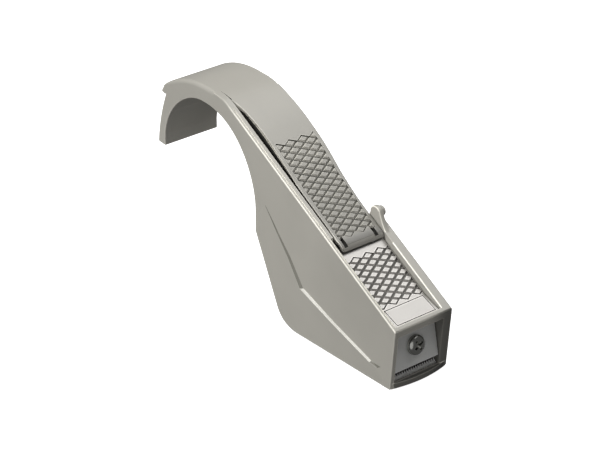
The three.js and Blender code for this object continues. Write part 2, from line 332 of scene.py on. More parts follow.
def polish(piece: bpy.types.Object, sharp: float = 26.0) -> bpy.types.Object:
    """Merges doubles and shades a piece smooth up to an angle, with its flat faces kept flat."""
    bm = bmesh.new()
    bm.from_mesh(piece.data)
    bmesh.ops.remove_doubles(bm, verts=bm.verts, dist=0.002 * MM)
    bmesh.ops.dissolve_degenerate(bm, edges=bm.edges, dist=0.001 * MM)
    bmesh.ops.triangulate(bm, faces=[face for face in bm.faces if len(face.verts) > 4])
    bm.to_mesh(piece.data)
    bm.free()
    piece.data.shade_smooth()
    piece.data.set_sharp_from_angle(angle=math.radians(sharp))
    weighted = piece.modifiers.new("flat faces", "WEIGHTED_NORMAL")
    weighted.keep_sharp = True
    weighted.weight = 80
    return settle(piece)


def turned(
    name: str, profile: Sequence[Point], origin: Vector, axis: Vector, segments: int = 64
) -> bpy.types.Object:
    """A turned solid.

    Args:
        name: Name of the new object.
        profile: Closed outline of (distance along the axis, radius), in millimetres.
        origin: Start of the axis, in metres.
        axis: Direction of the axis.
        segments: Number of facets round it.

    Returns:
        The new object.
    """
    turn = Vector((0, 0, 1)).rotation_difference(axis).to_matrix()
    bm = bmesh.new()
    rings = []
    for along, radius in profile:
        ring = []
        for k in range(segments if radius > 0 else 1):
            angle = math.tau * k / segments
            spoke = Vector((radius * math.cos(angle), radius * math.sin(angle), along)) * MM
            ring.append(bm.verts.new(origin + turn @ spoke))
        rings.append(ring)
    for ring, after in zip(rings, rings[1:] + rings[:1]):
        if len(ring) == 1 and len(after) == 1:
            continue
        for k in range(segments):
            m = (k + 1) % segments
            corners = [ring[k % len(ring)], ring[m % len(ring)], after[m % len(after)], after[k % len(after)]]
            bm.faces.new(list(dict.fromkeys(corners)))
    return to_object(name, bm)


def round_bar(name: str, radius: float, span: Point, origin: Vector, axis: Vector) -> bpy.types.Object:
    """A plain round bar between two distances along its axis, in millimetres."""
    start, end = span
    return turned(name, [(start, 0), (start, radius), (end, radius), (end, 0)], origin, axis, 40)


def hull_of(name: str, corners: Sequence[Vector]) -> bpy.types.Object:
    """The convex solid around a set of corners in metres."""
    bm = bmesh.new()
    for corner in corners:
        bm.verts.new(corner)
    bmesh.ops.convex_hull(bm, input=bm.verts)
    return to_object(name, bm)


# ---- finishes -----------------------------------------------------------------------


class Wiring:
    """Adds nodes to a tree, already linked."""

    def __init__(self, tree: bpy.types.NodeTree) -> None:
        """Takes the tree."""
        self.nodes, self.links = tree.nodes, tree.links

    def feed(self, socket: bpy.types.NodeSocket, value: object) -> None:
        """Links an output to a socket, or sets the socket to a constant."""
        if isinstance(value, bpy.types.NodeSocket):
            self.links.new(value, socket)
        else:
            socket.default_value = value

    def add(
        self, kind: str, inputs: dict[str | int, object] | None = None, **options: object
    ) -> bpy.types.Node:
        """Adds a node.

        Args:
            kind: The node's type.
            inputs: What goes into its sockets, by their names or numbers.
            options: The node's own settings.

        Returns:
            The node.
        """
        node = self.nodes.new(kind)
        for name, value in options.items():
            setattr(node, name, value)
        for name, value in (inputs or {}).items():
            self.feed(node.inputs[name], value)
        return node

    def math(self, operation: str, first: object, second: object) -> bpy.types.NodeSocket:
        """One step of arithmetic on two sockets or constants."""
        return self.add("ShaderNodeMath", {0: first, 1: second}, operation=operation).outputs["Value"]

    def fade(self, value: bpy.types.NodeSocket, start: float, end: float) -> bpy.types.NodeSocket:
        """Rises smoothly from 0 to 1 while the value goes from start to end."""
        inputs = {"Value": value, "From Min": start, "From Max": end}
        return self.add("ShaderNodeMapRange", inputs, interpolation_type="SMOOTHSTEP").outputs["Result"]

    def split(self, vector: bpy.types.NodeSocket) -> list[bpy.types.NodeSocket]:
        """The three parts of a vector."""
        parts = self.add("ShaderNodeSeparateXYZ", {"Vector": vector})
        return [parts.outputs[axis] for axis in "XYZ"]

    def mix(
        self, mask: bpy.types.NodeSocket, first: object, second: object, blend: str = "MIX"
    ) -> bpy.types.NodeSocket:
        """Blends two colours by a mask."""
        inputs = {"Factor": mask, "A": first, "B": second}
        return self.add("ShaderNodeMix", inputs, data_type="RGBA", blend_type=blend).outputs["Result"]

    def tint(
        self, colour: bpy.types.NodeSocket, mask: bpy.types.NodeSocket, gain: float
    ) -> bpy.types.NodeSocket:
        """Multiplies a colour by a gain where a mask is 1."""
        return self.mix(mask, colour, (gain, gain, gain, 1), "MULTIPLY")


@dataclass(frozen=True)
class Finish:
    """A material made of nodes: a base colour that wanders, fine grain, and edges lightened partly as wear
    and partly as a painted highlight.
    """

    name: str
    slot: str
    colour: tuple[float, float, float]
    drift: float = 0.06
    metallic: float = 0.0
    roughness: float = 0.5
    rough_spread: float = 0.08
    grain: tuple[float, float, float] = (2600.0, 2600.0, 2600.0)
    bump: float = 0.12
    bump_depth: float = 0.00006
    edge_gain: float = 1.5
    edge_radius: float = 0.0007

    def build(self) -> bpy.types.Material:
        """Makes the material.

        Returns:
            The material, with constants set on the shader's own sockets.
        """
        material = bpy.data.materials.new(self.name)
        material.use_nodes = True
        wiring = Wiring(material.node_tree)
        place = wiring.add("ShaderNodeTexCoord").outputs["Object"]
        cloud = wiring.add("ShaderNodeTexNoise", {"Vector": place, "Scale": 34.0, "Detail": 5.0})
        drawn = wiring.add("ShaderNodeMapping", {"Vector": place, "Scale": self.grain}).outputs["Vector"]
        fine = {"Vector": drawn, "Scale": 1.0, "Detail": 3.0}
        grain = wiring.add("ShaderNodeTexNoise", fine).outputs["Fac"]

        tone = wiring.add("ShaderNodeValToRGB", {"Fac": cloud.outputs["Fac"]})
        stops = ((0.32, 1 - self.drift), (0.68, 1 + self.drift))
        for stop, (position, gain) in zip(tone.color_ramp.elements, stops):
            stop.position = position
            stop.color = self._shade(gain)
        edge_wear_and_highlight = self._worn_and_highlit_edges(wiring, place)
        # Lightens the edges by edge_gain: wear, and a painted highlight along the roundings.
        worn_and_highlit = wiring.mix(edge_wear_and_highlight, tone.outputs["Color"], self._shade(self.edge_gain))

        low, high = self.roughness - self.rough_spread, self.roughness + self.rough_spread
        rough = wiring.add("ShaderNodeMapRange", {"Value": grain, "To Min": low, "To Max": high})
        bump = {"Height": grain, "Strength": self.bump, "Distance": self.bump_depth}
        shader = wiring.nodes["Principled BSDF"]
        for name, value in (
            ("Metallic", self.metallic),
            ("Base Color", self._paint_light_and_shade(wiring, place, worn_and_highlit)),
            ("Roughness", rough.outputs["Result"]),
            ("Normal", wiring.add("ShaderNodeBump", bump).outputs["Normal"]),
        ):
            wiring.feed(shader.inputs[name], value)
        return material

    def _shade(self, gain: float) -> tuple[float, float, float, float]:
        """The base colour, lighter or darker."""
        return (*[min(1, part * gain) for part in self.colour], 1)

    def _worn_and_highlit_edges(self, wiring: Wiring, place: bpy.types.NodeSocket) -> bpy.types.NodeSocket:
        """A mask of the edges that hands and tape rub, lightened both as wear and as a painted highlight.

        Args:
            wiring: The material's nodes.
            place: Where a point lies on the piece, for the finishes that need it.

        Returns:
            A value that is 1 on an edge.
        """
        rounded = wiring.add("ShaderNodeBevel", {"Radius": self.edge_radius}, samples=4).outputs["Normal"]
        plain = wiring.add("ShaderNodeNewGeometry").outputs["Normal"]
        agree = wiring.add("ShaderNodeVectorMath", {0: rounded, 1: plain}, operation="DOT_PRODUCT")
        inputs = {"Value": agree.outputs["Value"], "From Min": 0.995, "From Max": 0.93}
        return wiring.add("ShaderNodeMapRange", inputs).outputs["Result"]

    def _paint_light_and_shade(
        self, wiring: Wiring, place: bpy.types.NodeSocket, colour: bpy.types.NodeSocket
    ) -> bpy.types.NodeSocket:
        """Adds the painted light and shade that is particular to parts of the piece; a plain finish adds
        nothing.
        """
        return colour


@dataclass(frozen=True)
class MouldedFinish(Finish):
    """The moulding's finish: a painted highlight on the roundings along the deck, painted shade round the
    nose and on the strip's rolled lip, and a darker tone towards the front.
    """

    root_x: float = -0.081
    highlight_gain: float = 2.0
    nose_shade_gain: float = 0.34
    nose_gain: float = 0.88
    deck_gain: float = 1.0
    roll_shade_gain: float = 1.0

    def _worn_and_highlit_edges(self, wiring: Wiring, place: bpy.types.NodeSocket) -> bpy.types.NodeSocket:
        """Keeps the joint between the hook and the strip free of the lightened edges of wear and painted
        highlight.
        """
        away = wiring.math("SUBTRACT", wiring.split(place)[0], self.root_x)
        clear = wiring.fade(wiring.math("ABSOLUTE", away, 0.0), 0.0008, 0.003)
        return wiring.math("MULTIPLY", super()._worn_and_highlit_edges(wiring, place), clear)

    def _patches(self) -> list[tuple[float, list[tuple[str, float | str, float]]]]:
        """The patches that differ in tone.

        Returns:
            Each patch's gain and its bounds. A bound is a fade between two values, or a comparison
            with one, of x, y or z in metres or of how far a face looks left, up or to the front.
        """
        ahead = ("x", self.root_x - 0.004, self.root_x + 0.012)
        return [
            # Painted highlight on the roundings that face left and up, in front of the hook's root.
            (self.highlight_gain, [("left", 0.3, 0.55), ("left", 0.97, 0.85), ("up", 0.15, 0.4), ahead]),
            # Painted shade on the front faces of the nose's right side.
            (self.nose_shade_gain, [("x", 0.029, 0.030), ("y", 0.001, 0.015), ("front", 0.6, 0.85)]),
            # Painted shade inside the nose's opening.
            (self.nose_shade_gain, [
                ("z", "LESS_THAN", 0.0262), ("x", "GREATER_THAN", 0.017), ("y", "GREATER_THAN", -0.0144),
                ("y", "LESS_THAN", 0.0118), ("front", "LESS_THAN", 0.6),
            ]),
            # Darker towards the nose.
            (self.nose_gain, [("x", -0.035, 0.030)]),
            # Darker along the strip towards its lip.
            (self.deck_gain, [("x", -0.090, -0.010)]),
            # Painted shade on the strip's rolled lip.
            (self.roll_shade_gain, [("x", -0.0100, -0.0068)]),
            # Painted shade on the lip below the nose's opening.
            (self.nose_shade_gain, [("x", "GREATER_THAN", 0.0315), ("z", 0.004, 0.003)]),
        ]

    def _paint_light_and_shade(
        self, wiring: Wiring, place: bpy.types.NodeSocket, colour: bpy.types.NodeSocket
    ) -> bpy.types.NodeSocket:
        """Lays the patches of painted highlight, painted shade and darker tone over the colour, one after the
        other.
        """
        measures = dict(zip("xyz", wiring.split(place)))
        looks = wiring.split(wiring.add("ShaderNodeNewGeometry").outputs["Normal"])
        measures |= {"front": looks[0], "left": wiring.math("MULTIPLY", looks[1], -1.0), "up": looks[2]}
        for gain, bounds in self._patches():
            mask = None
            for measure, start, end in bounds:
                value = measures[measure]
                if isinstance(start, str):
                    part = wiring.math(start, value, end)
                else:
                    part = wiring.fade(value, start, end)
                mask = part if mask is None else wiring.math("MULTIPLY", mask, part)
            colour = wiring.tint(colour, mask, gain)
        return colour


MOULDING = MouldedFinish(
    "moulded_grey", "moulding", (0.475, 0.459, 0.410), drift=0.035, roughness=0.38, rough_spread=0.05,
)
# The strip's finish: not darker at the nose, darker towards its lip, with painted shade on its rolled lip.
MOULDED_STRIP = replace(MOULDING, name="moulded_strip", nose_gain=1.0, deck_gain=0.64, roll_shade_gain=0.6)
# Painted shade for the floor and walls of the strip's sunk diamond field.
GROOVE_SHADE = Finish("groove_painted_shade", "moulding", (0.075, 0.073, 0.063), drift=0.2, roughness=0.7)
DEEP_SHADE = Finish("unlit_moulding", "moulding", (0.025, 0.024, 0.02), drift=0.2, roughness=0.8)
# Painted highlight and painted shade for the risers of the cheek.
CHEEK_RIDGE_HIGHLIGHT = Finish("cheek_ridge_painted_highlight", "moulding", (0.66, 0.645, 0.58), drift=0.04, roughness=0.35)
CHEEK_STEP_SHADE = Finish("cheek_step_painted_shade", "moulding", (0.20, 0.195, 0.165), drift=0.1, roughness=0.6)
SATIN_NICKEL = Finish(
    "satin_nickel", "satin_steel", (0.385, 0.373, 0.355), drift=0.03, metallic=0.85, roughness=0.38,
    rough_spread=0.07, bump=0.08,
)
# Painted shade for the thumb plate's grooves and the line round its panel.
NICKEL_GROOVE_SHADE = Finish(
    "nickel_groove_painted_shade", "satin_steel", (0.13, 0.125, 0.115), drift=0.2, metallic=0.6, roughness=0.6,
)
BRUSHED = Finish(
    "brushed_plate", "brushed_plate", (0.72, 0.72, 0.70), drift=0.04, metallic=0.4, roughness=0.42,
    rough_spread=0.12, grain=(5200.0, 5200.0, 90.0), bump=0.25, bump_depth=0.00005,
)
CHROME = Finish(
    "plated_screw", "screw_chrome", (0.36, 0.36, 0.34), drift=0.02, metallic=1.0, roughness=0.2,
    rough_spread=0.04, bump=0.03,
)
BRASS = Finish(
    "turned_brass", "insert_brass", (0.60, 0.44, 0.18), drift=0.05, metallic=1.0, roughness=0.3,
    grain=(400.0, 3000.0, 3000.0),
)
BLADE = Finish(
    "ground_blade", "blade_steel", (0.80, 0.80, 0.77), drift=0.04, metallic=0.6, roughness=0.3,
    grain=(5000.0, 300.0, 5000.0),
)
ACETAL = Finish("roller_acetal", "roller_plastic", (0.68, 0.67, 0.61), drift=0.03, roughness=0.42)
AXLE = Finish(
    "drawn_axle", "axle_steel", (0.50, 0.50, 0.50), drift=0.03, metallic=1.0, roughness=0.28,
    grain=(5000.0, 250.0, 5000.0),
)


class Paintbox:
    """Makes each finish once and dresses pieces with it."""

    def __init__(self) -> None:
        """Starts with no material made."""
        self._made: dict[str, bpy.types.Material] = {}

    def material(self, finish: Finish) -> bpy.types.Material:
        """The finish's material, made the first time that it is asked for."""
        if finish.name not in self._made:
            self._made[finish.name] = finish.build()
        return self._made[finish.name]

    def coat(self, piece: bpy.types.Object, *finishes: Finish) -> bpy.types.Object:
        """Gives a piece its slots of material, in order."""
        for finish in finishes:
            piece.data.materials.append(self.material(finish))
        return piece

    def fill_slots(self, piece: bpy.types.Object, finish: Finish) -> None:
        """Gives the finish to every part of a piece that has none yet."""
        materials = piece.data.materials
        if not materials:
            materials.append(None)
        for index, material in enumerate(materials):
            if material is None:
                materials[index] = self.material(finish)

    def dress(self, piece: bpy.types.Object, finish: Finish, body: Body, *nodes: str) -> bpy.types.Object:
        """Finishes a piece and hangs it on its body.

        Args:
            piece: The finished shape.
            finish: What it is made of.
            body: The body that it moves with.
            nodes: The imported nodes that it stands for.

        Returns:
            The piece.
        """
        self.fill_slots(piece, finish)
        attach(piece, body.value)
        if nodes:
            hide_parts(*nodes)
        LOG.info("%s: %d faces", piece.name, len(piece.data.polygons))
        return piece


# ---- the grip pads' diamonds --------------------------------------------------------


@dataclass(frozen=True)
class Surface:
    """A pad's smooth face, which bends along the dispenser and is level across it."""

    height: Callable[[float], float]

    def pitch(self, x: float) -> float:
        """Turn about Y of the face at x, in radians."""
        reach = 0.2
        return -math.atan2(self.height(x + reach) - self.height(x - reach), 2 * reach)

    def march(self, x: float, length: float) -> float:
        """The x that lies a length further along the face."""
        steps = 8
        for _ in range(steps):
            x += length / steps * math.cos(self.pitch(x))
        return x

    def point(self, datum: Datum, x: float, y: float, rise: float) -> Vector:
        """A point that stands a rise above the face, in metres."""
        pitch = self.pitch(x)
        return datum.place(x + rise * math.sin(pitch), y, self.height(x) + rise * math.cos(pitch))


@dataclass
class DiamondField:
    """Rhombic studs in a sunk field with zigzag ends."""

    datum: Datum
    surface: Surface
    name: str
    start: float
    rows: int
    middle: float
    left_of: Callable[[float], float]
    right_of: Callable[[float], float]
    half_length: float = 1.95
    half_width: float = 3.51
    drift: float = 0.0
    depth: float = 0.7
    crown: float = 0.57
    foot: float = 0.9

    def centre_line(self, x: float) -> float:
        """The y of the middle column at x."""
        return self.middle + self.drift * (x - self.start)

    def centres(self) -> list[tuple[float, float]]:
        """The studs' middles as (x, y), row by row."""
        found = []
        x = self.start
        for row in range(self.rows):
            for column in range(-5, 6):
                y = self.centre_line(x) + self.half_width * column
                inside = self.left_of(x) - self.half_width < y < self.right_of(x) + self.half_width
                if (row + column) % 2 == 0 and inside:
                    found.append((x, y))
            x = self.surface.march(x, self.half_length)
        return found

    def studs(self, paint: bpy.types.Material) -> bpy.types.Object:
        """Makes the studs with a node tree and trims them at the field's sides."""
        spots = self.centres()
        seat, bite = self.depth / 2 + 0.05, 0.1
        mesh = bpy.data.meshes.new(self.name)
        mesh.from_pydata([self.surface.point(self.datum, x, y, -seat) for x, y in spots], [], [])
        pitch = mesh.attributes.new("pitch", "FLOAT", "POINT")
        pitch.data.foreach_set("value", [self.surface.pitch(x) for x, _ in spots])
        piece = bpy.data.objects.new(self.name, mesh)
        bpy.context.scene.collection.objects.link(piece)
        StudTree().grow(piece, {
            "Half Length": self.half_length * MM, "Half Width": self.half_width * MM,
            "Height": (self.depth + bite) * MM, "Crown": self.crown, "Foot": self.foot, "Finish": paint,
        })
        self._trim(piece)
        return piece

    def _trim(self, piece: bpy.types.Object) -> None:
        """Cuts the studs off along the field's two sides and caps them."""
        end = self.surface.march(self.start, self.half_length * self.rows)
        inset = 0.15
        bm = bmesh.new()
        bm.from_mesh(piece.data)
        for side_of, outward in ((self.left_of, -1.0), (self.right_of, 1.0)):
            first = self.datum.place(self.start, side_of(self.start) - outward * inset, 0)
            along = self.datum.place(end, side_of(end) - outward * inset, 0) - first
            normal = Vector((along.y, -along.x, 0)) * -outward
            cut = bmesh.ops.bisect_plane(
                bm, geom=bm.verts[:] + bm.edges[:] + bm.faces[:], plane_co=first,
                plane_no=normal.normalized(), clear_outer=True,
            )
            edges = [item for item in cut["geom_cut"] if isinstance(item, bmesh.types.BMEdge)]
            bmesh.ops.holes_fill(bm, edges=[e for e in edges if e.is_valid and e.is_boundary])
        bm.to_mesh(piece.data)
        bm.free()

    def sink(self) -> bpy.types.Object:
        """The solid to cut out of the pad, with zigzag ends."""
        end = self.surface.march(self.start, self.half_length * (self.rows - 1))
        steps = 24
        middle = [self.start + (end - self.start) * k / steps for k in range(1, steps)]
        loop = self._zigzag(self.start, -1, 0) + [(x, self.right_of(x)) for x in middle]
        loop += self._zigzag(end, 1, (self.rows - 1) % 2)[::-1]
        loop += [(x, self.left_of(x)) for x in reversed(middle)]
        rings = [[self.surface.point(self.datum, x, y, rise) for x, y in loop] for rise in (-self.depth, 2.0)]
        return loft(self.name + "_sink", rings, split_ends=True)

    def _zigzag(self, x: float, way: int, parity: int) -> Outline:
        """One end of the field, from its left side to its right side.

        Args:
            x: The end row's middles.
            way: -1 at the hook's end and 1 at the nose's end.
            parity: Which columns the end row holds.

        Returns:
            Points (x, y) with y rising.
        """
        tip = self.surface.march(x, way * self.half_length)
        line = self.centre_line(x)

        def edge_at(y: float) -> float:
            """The end's x at y."""
            column = (y - line) / self.half_width + parity
            return tip + (x - tip) * abs(((column + 1) % 2) - 1)

        low, high = self.left_of(x), self.right_of(x)
        clear = 0.2
        inner = [line + self.half_width * k for k in range(-6, 7)]
        inner = [y for y in inner if low + clear < y < high - clear]
        return [(edge_at(y), y) for y in [low, *inner, high]]


class StudTree:
    """The node tree that stands a tapered rhombus on each point, turned by the point's pitch."""

    INPUTS = {
        "Geometry": "NodeSocketGeometry", "Half Length": "NodeSocketFloat", "Half Width": "NodeSocketFloat",
        "Height": "NodeSocketFloat", "Crown": "NodeSocketFloat", "Foot": "NodeSocketFloat",
        "Finish": "NodeSocketMaterial",
    }

    def __init__(self) -> None:
        """Builds the tree."""
        self.tree = bpy.data.node_groups.new("diamond_studs", "GeometryNodeTree")
        face = self.tree.interface
        self._sockets = {
            name: face.new_socket(name=name, in_out="INPUT", socket_type=kind).identifier
            for name, kind in self.INPUTS.items()
        }
        face.new_socket(name="Geometry", in_out="OUTPUT", socket_type="NodeSocketGeometry")
        add = Wiring(self.tree).add
        sizes = add("NodeGroupInput").outputs
        stud = add("GeometryNodeMeshCone", {
            "Vertices": 4, "Radius Top": sizes["Crown"], "Radius Bottom": sizes["Foot"],
            "Depth": sizes["Height"],
        })
        half = add("ShaderNodeMath", {0: sizes["Height"], 1: -0.5}, operation="MULTIPLY")
        down = add("ShaderNodeCombineXYZ", {"Z": half.outputs["Value"]})
        centred = add("GeometryNodeTransform", {
            "Geometry": stud.outputs["Mesh"], "Translation": down.outputs["Vector"],
        })
        stretch = add("ShaderNodeCombineXYZ", {
            "X": sizes["Half Length"], "Y": sizes["Half Width"], "Z": 1.0,
        })
        pitch = add("GeometryNodeInputNamedAttribute", {"Name": "pitch"}, data_type="FLOAT")
        turn = add("ShaderNodeCombineXYZ", {"Y": pitch.outputs["Attribute"]})
        spots = add("GeometryNodeInstanceOnPoints", {
            "Points": sizes["Geometry"], "Instance": centred.outputs["Geometry"],
            "Rotation": turn.outputs["Vector"], "Scale": stretch.outputs["Vector"],
        })
        real = add("GeometryNodeRealizeInstances", {"Geometry": spots.outputs["Instances"]})
        paint = add("GeometryNodeSetMaterial", {
            "Geometry": real.outputs["Geometry"], "Material": sizes["Finish"],
        })
        add("NodeGroupOutput", {"Geometry": paint.outputs["Geometry"]})

    def grow(self, piece: bpy.types.Object, values: dict[str, object]) -> bpy.types.Object:
        """Grows the studs on a piece's points, with the tree's inputs by name, and leaves plain mesh."""
        modifier = piece.modifiers.new("repeat", "NODES")
        modifier.node_group = self.tree
        for name, value in values.items():
            modifier[self._sockets[name]] = value
        return settle(piece)


# ---- the moulded frame --------------------------------------------------------------


@dataclass
class Moulding:
    """The one-piece moulding: side plate, hook, nose box, right wall with its ear."""

    datum: Datum
    paints: Paintbox
    base_length: float = 62.0
    back_x: float = -91.5
    back_low: float = 40.0
    back_high: float = 52.0
    root_x: float = -112.0
    rise: float = 98.2
    arch_x: float = -129.0
    arch_depth: float = 7.7
    leg_x: float = -157.8
    leg_foot: float = 57.5
    leg_thickness: float = 5.2
    leg_lean: float = 6.0
    lip_drop: float = 14.6
    lip_reach: float = 3.4
    lip_crease: Point = (-153.1, 77.0)
    hook_right: float = 14.1
    rim_depth: float = 4.5
    rim_front: float = -42.0
    ear_x: float = -43.2
    ear_radius: float = 3.3
    ear_lift: float = 2.56
    ear_thickness: float = 2.7
    ear_flare: float = 9.0
    boss_radius: float = 2.4
    wall_foot_x: float = -44.0
    floor: float = 2.4
    floor_back: float = -50.0
    lip_height: float = 3.0
    lip_depth: float = 0.8
    lip_bulge: float = 2.2
    bar_height: float = 3.5
    block_back: float = -12.5
    block_low: float = 11.4
    block_high: float = 22.4
    cheek_apex: int = 4

    def inner_arch(self) -> Outline:
        """The hook's inside, from the plate's rear edge round to the leg's foot."""
        inner = self.rise - self.arch_depth
        rear, top = (self.back_x, self.back_high), (self.arch_x, inner)
        bend = (self.leg_x, self.leg_foot + 5)
        points = curve(26, rear, (rear[0] - 0.5, rear[1] + 14), (self.arch_x + 26, inner), top)
        points += curve(26, top, (self.arch_x - 13, inner), (self.leg_x + 1.3, inner - 12.5), bend)
        return points + [(self.leg_x, self.leg_foot)]

    def outer_skin(self) -> Outline:
        """The hook's outside, from the leg's foot over the rear lip to the strip's root."""
        back = self.leg_x - self.leg_thickness
        lip = self.rise - self.lip_drop
        lean = back + self.leg_lean
        foot = (back, self.leg_foot + 0.6)
        under = (lean - self.lip_reach - 0.6, lip - 0.4)
        nose = (back + 3.4, lip + 2.8)
        top = (self.arch_x, self.rise)
        root = (self.root_x, self.datum.deck(self.root_x))
        points = [foot, *curve(14, foot, (back + 1.2, self.leg_foot + 14), (lean + 0.6, lip + 0.6)), under]
        points += curve(5, under, (lean - self.lip_reach - 1.4, lip + 0.8), nose)
        points += curve(30, nose, (back + 8, self.rise - 6), (self.arch_x - 14, self.rise), top)
        return points + curve(18, top, ((self.arch_x + self.root_x) / 2 + 1.5, self.rise), root)

    def outline(self) -> Outline:
        """The side plate's whole outline, from the top of the nose round to it."""
        top = (self.datum.nose_lean, self.datum.deck(self.datum.nose_lean))
        belly = (-self.base_length, 0.0)
        points = [top, (0.0, 0.0), belly]
        points += curve(12, belly, (belly[0] - 11.0, 0.0), (belly[0] - 14.7, 8.5))
        points += [(self.back_x, self.back_low), (self.back_x, self.back_high)]
        points += self.inner_arch() + self.outer_skin()
        return points + curve(24, points[-1], top)[:-1]

    def block(self) -> bpy.types.Object:
        """The solid that the frame is carved from, as wide as the hook behind and the nose in front."""
        d = self.datum

        def far_side(x: float) -> float:
            """The right face's y at x."""
            return self.hook_right + (d.right - self.hook_right) * smooth_step(x, -100.0, -60.0)

        points = self.outline()
        near = [d.place(x, d.left, z) for x, z in points]
        far = [d.place(x, far_side(x), z) for x, z in points]
        return weigh_edges(slab("frame", near, far), self._edge_radius, 2.0)

    def _edge_radius(self, a: Vector, b: Vector) -> float:
        """How much an outer edge of the block is rounded, in millimetres."""
        d = self.datum
        x = d.x_of(a, b)
        z = (a.z + b.z) / 2 / MM
        if abs(a.y - b.y) > 5 * MM:
            top = x > 0 and z > 20
            foot = x > -1 and z < 1
            tips = x < -155 and (z < 60 or 82.5 < z < 85)
            return 0.8 if top or foot else 0.45 if tips else 0.0
        over_arch = x < self.arch_x + 8 and z > self.rise - self.arch_depth + 0.4
        if z <= d.deck(x) - 0.3 and not over_arch:
            return 0.5
        if a.y > 0:
            return 0.9
        hooked = 1 - smooth_step(x, -122.0, -108.0)
        return 0.9 + 1.1 * hooked * smooth_step(x, -158.0, -150.0)

    def carve(self, piece: bpy.types.Object) -> bpy.types.Object:
        """Opens the channel, the side and the front of the nose of the rounded block."""
        d = self.datum
        far, above, below = 60.0, 140.0, -20.0
        inner, rim, root = d.channel_left, d.channel_left + d.rim_wall, self.root_x
        wall = self.ear_x - self.ear_radius
        lean_top = d.deck(d.nose_lean)
        bar_low = lean_top - self.bar_height
        front = d.nose_lean * bar_low / lean_top

        def rim_low(x: float) -> float:
            """Height of the rim's lower edge at x."""
            return d.deck(x) - self.rim_depth

        open_side = [
            (root, rim_low(root)), (root, below), (self.wall_foot_x + 2, below), (self.wall_foot_x, 0.0),
            (wall, rim_low(wall)),
        ]
        open_top = [(root, above), (root, rim_low(root) - 0.1), (wall, rim_low(wall) - 0.1), (wall, above)]
        channel_top = [
            (wall - 0.2, above), (wall - 0.2, rim_low(wall) - 0.1),
            (self.rim_front, rim_low(self.rim_front) - 0.1), (self.rim_front, above),
        ]
        channel = [
            (self.floor_back, self.floor), (self.floor_back - 20, self.floor),
            (self.floor_back - 20, rim_low(wall) - 0.1), (wall, rim_low(wall) - 0.1),
            (self.rim_front, rim_low(self.rim_front) - 0.1), (self.rim_front, above), (d.bar_back, above),
            (d.bar_back, lean_top), (front - d.bar_depth, bar_low), (front + 9, bar_low),
            (front + 9, self.lip_height), (-self.lip_depth, self.lip_height), (-self.lip_depth, self.floor),
        ]
        behind = [(self.floor_back, below), (self.floor_back, 30.0), (root + 1, 30.0), (root + 1, below)]
        under_root = [
            (root + 1, self.rise - 8), (root, d.deck(root) - 3.2), (root - 8, self.rise - 8.9),
            (root - 14, self.rise - 20), (root + 1, self.rise - 20),
        ]
        for name, outline, y_from, y_to in (
            ("open_side", open_side, inner, far), ("open_top", open_top, rim, far),
            ("channel_top", channel_top, rim, d.channel_right), ("channel", channel, inner, d.channel_right),
            ("behind_floor", behind, inner, far), ("under_root", under_root, inner, far),
        ):
            combine(piece, side_slab(d, name, outline, y_from, y_to), Join.CUT)
        return piece

    def ear(self) -> bpy.types.Object:
        """The rounded ear on the right wall, with its round boss."""
        d = self.datum
        centre = (self.ear_x, d.deck(self.ear_x) + self.ear_lift)
        back, front = self.ear_x - self.ear_radius, self.ear_x + self.ear_flare
        flare = self.ear_x + 0.6 * self.ear_flare
        root, inset, boss_seat = 4.0, 0.03, 1.5
        points = arc(centre, self.ear_radius, 0.5, math.pi, 20)
        points += [(back, d.deck(back) - root), (front, d.deck(front) - root), (front, d.deck(front) - 0.4)]
        points += curve(8, points[-1], (flare, d.deck(flare)), points[0])[:-1]
        wall = d.channel_right
        ear = soften(side_slab(d, "ear", points, wall + inset, wall + self.ear_thickness), 0.75, 4)
        height, r = d.right - wall - boss_seat, self.boss_radius
        profile = [(0, 0), (0, r), (height - 0.7, r), (height - 0.25, r - 0.2), (height - 0.03, r - 0.7)]
        seat = d.place(centre[0], wall + boss_seat, centre[1])
        return combine(ear, turned("boss", [*profile, (height, 0)], seat, ACROSS, 40), Join.ADD)

    def front_lip(self) -> bpy.types.Object:
        """The bulging lip below the nose's opening."""
        d = self.datum
        low, high, inset = 0.05, self.lip_height, 0.6
        left, right = d.left + inset, d.right - inset
        loop = [(-self.lip_depth, left), (0.0, left)]
        loop += curve(22, (0.0, left), (2 * self.lip_bulge, 0.0), (0.0, right))
        loop += [(-self.lip_depth, right)]
        lean = 0.25 * high / 3
        foot = [d.place(x, y, low) for x, y in loop]
        return soften(slab("front_lip", foot, [d.place(x + lean, y, high) for x, y in loop]), 0.7, 3)

    def screw_block(self) -> bpy.types.Object:
        """The block between the walls that holds the screw's insert."""
        d = self.datum
        set_back, bite = 1.6, 0.6
        low, high = self.block_low, self.block_high
        points = [
            (self.block_back, low), (d.plate_face(low) - set_back, low),
            (d.plate_face(high) - set_back, high), (self.block_back, high),
        ]
        return side_slab(d, "screw_block", points, d.channel_left - bite, d.channel_right + bite)

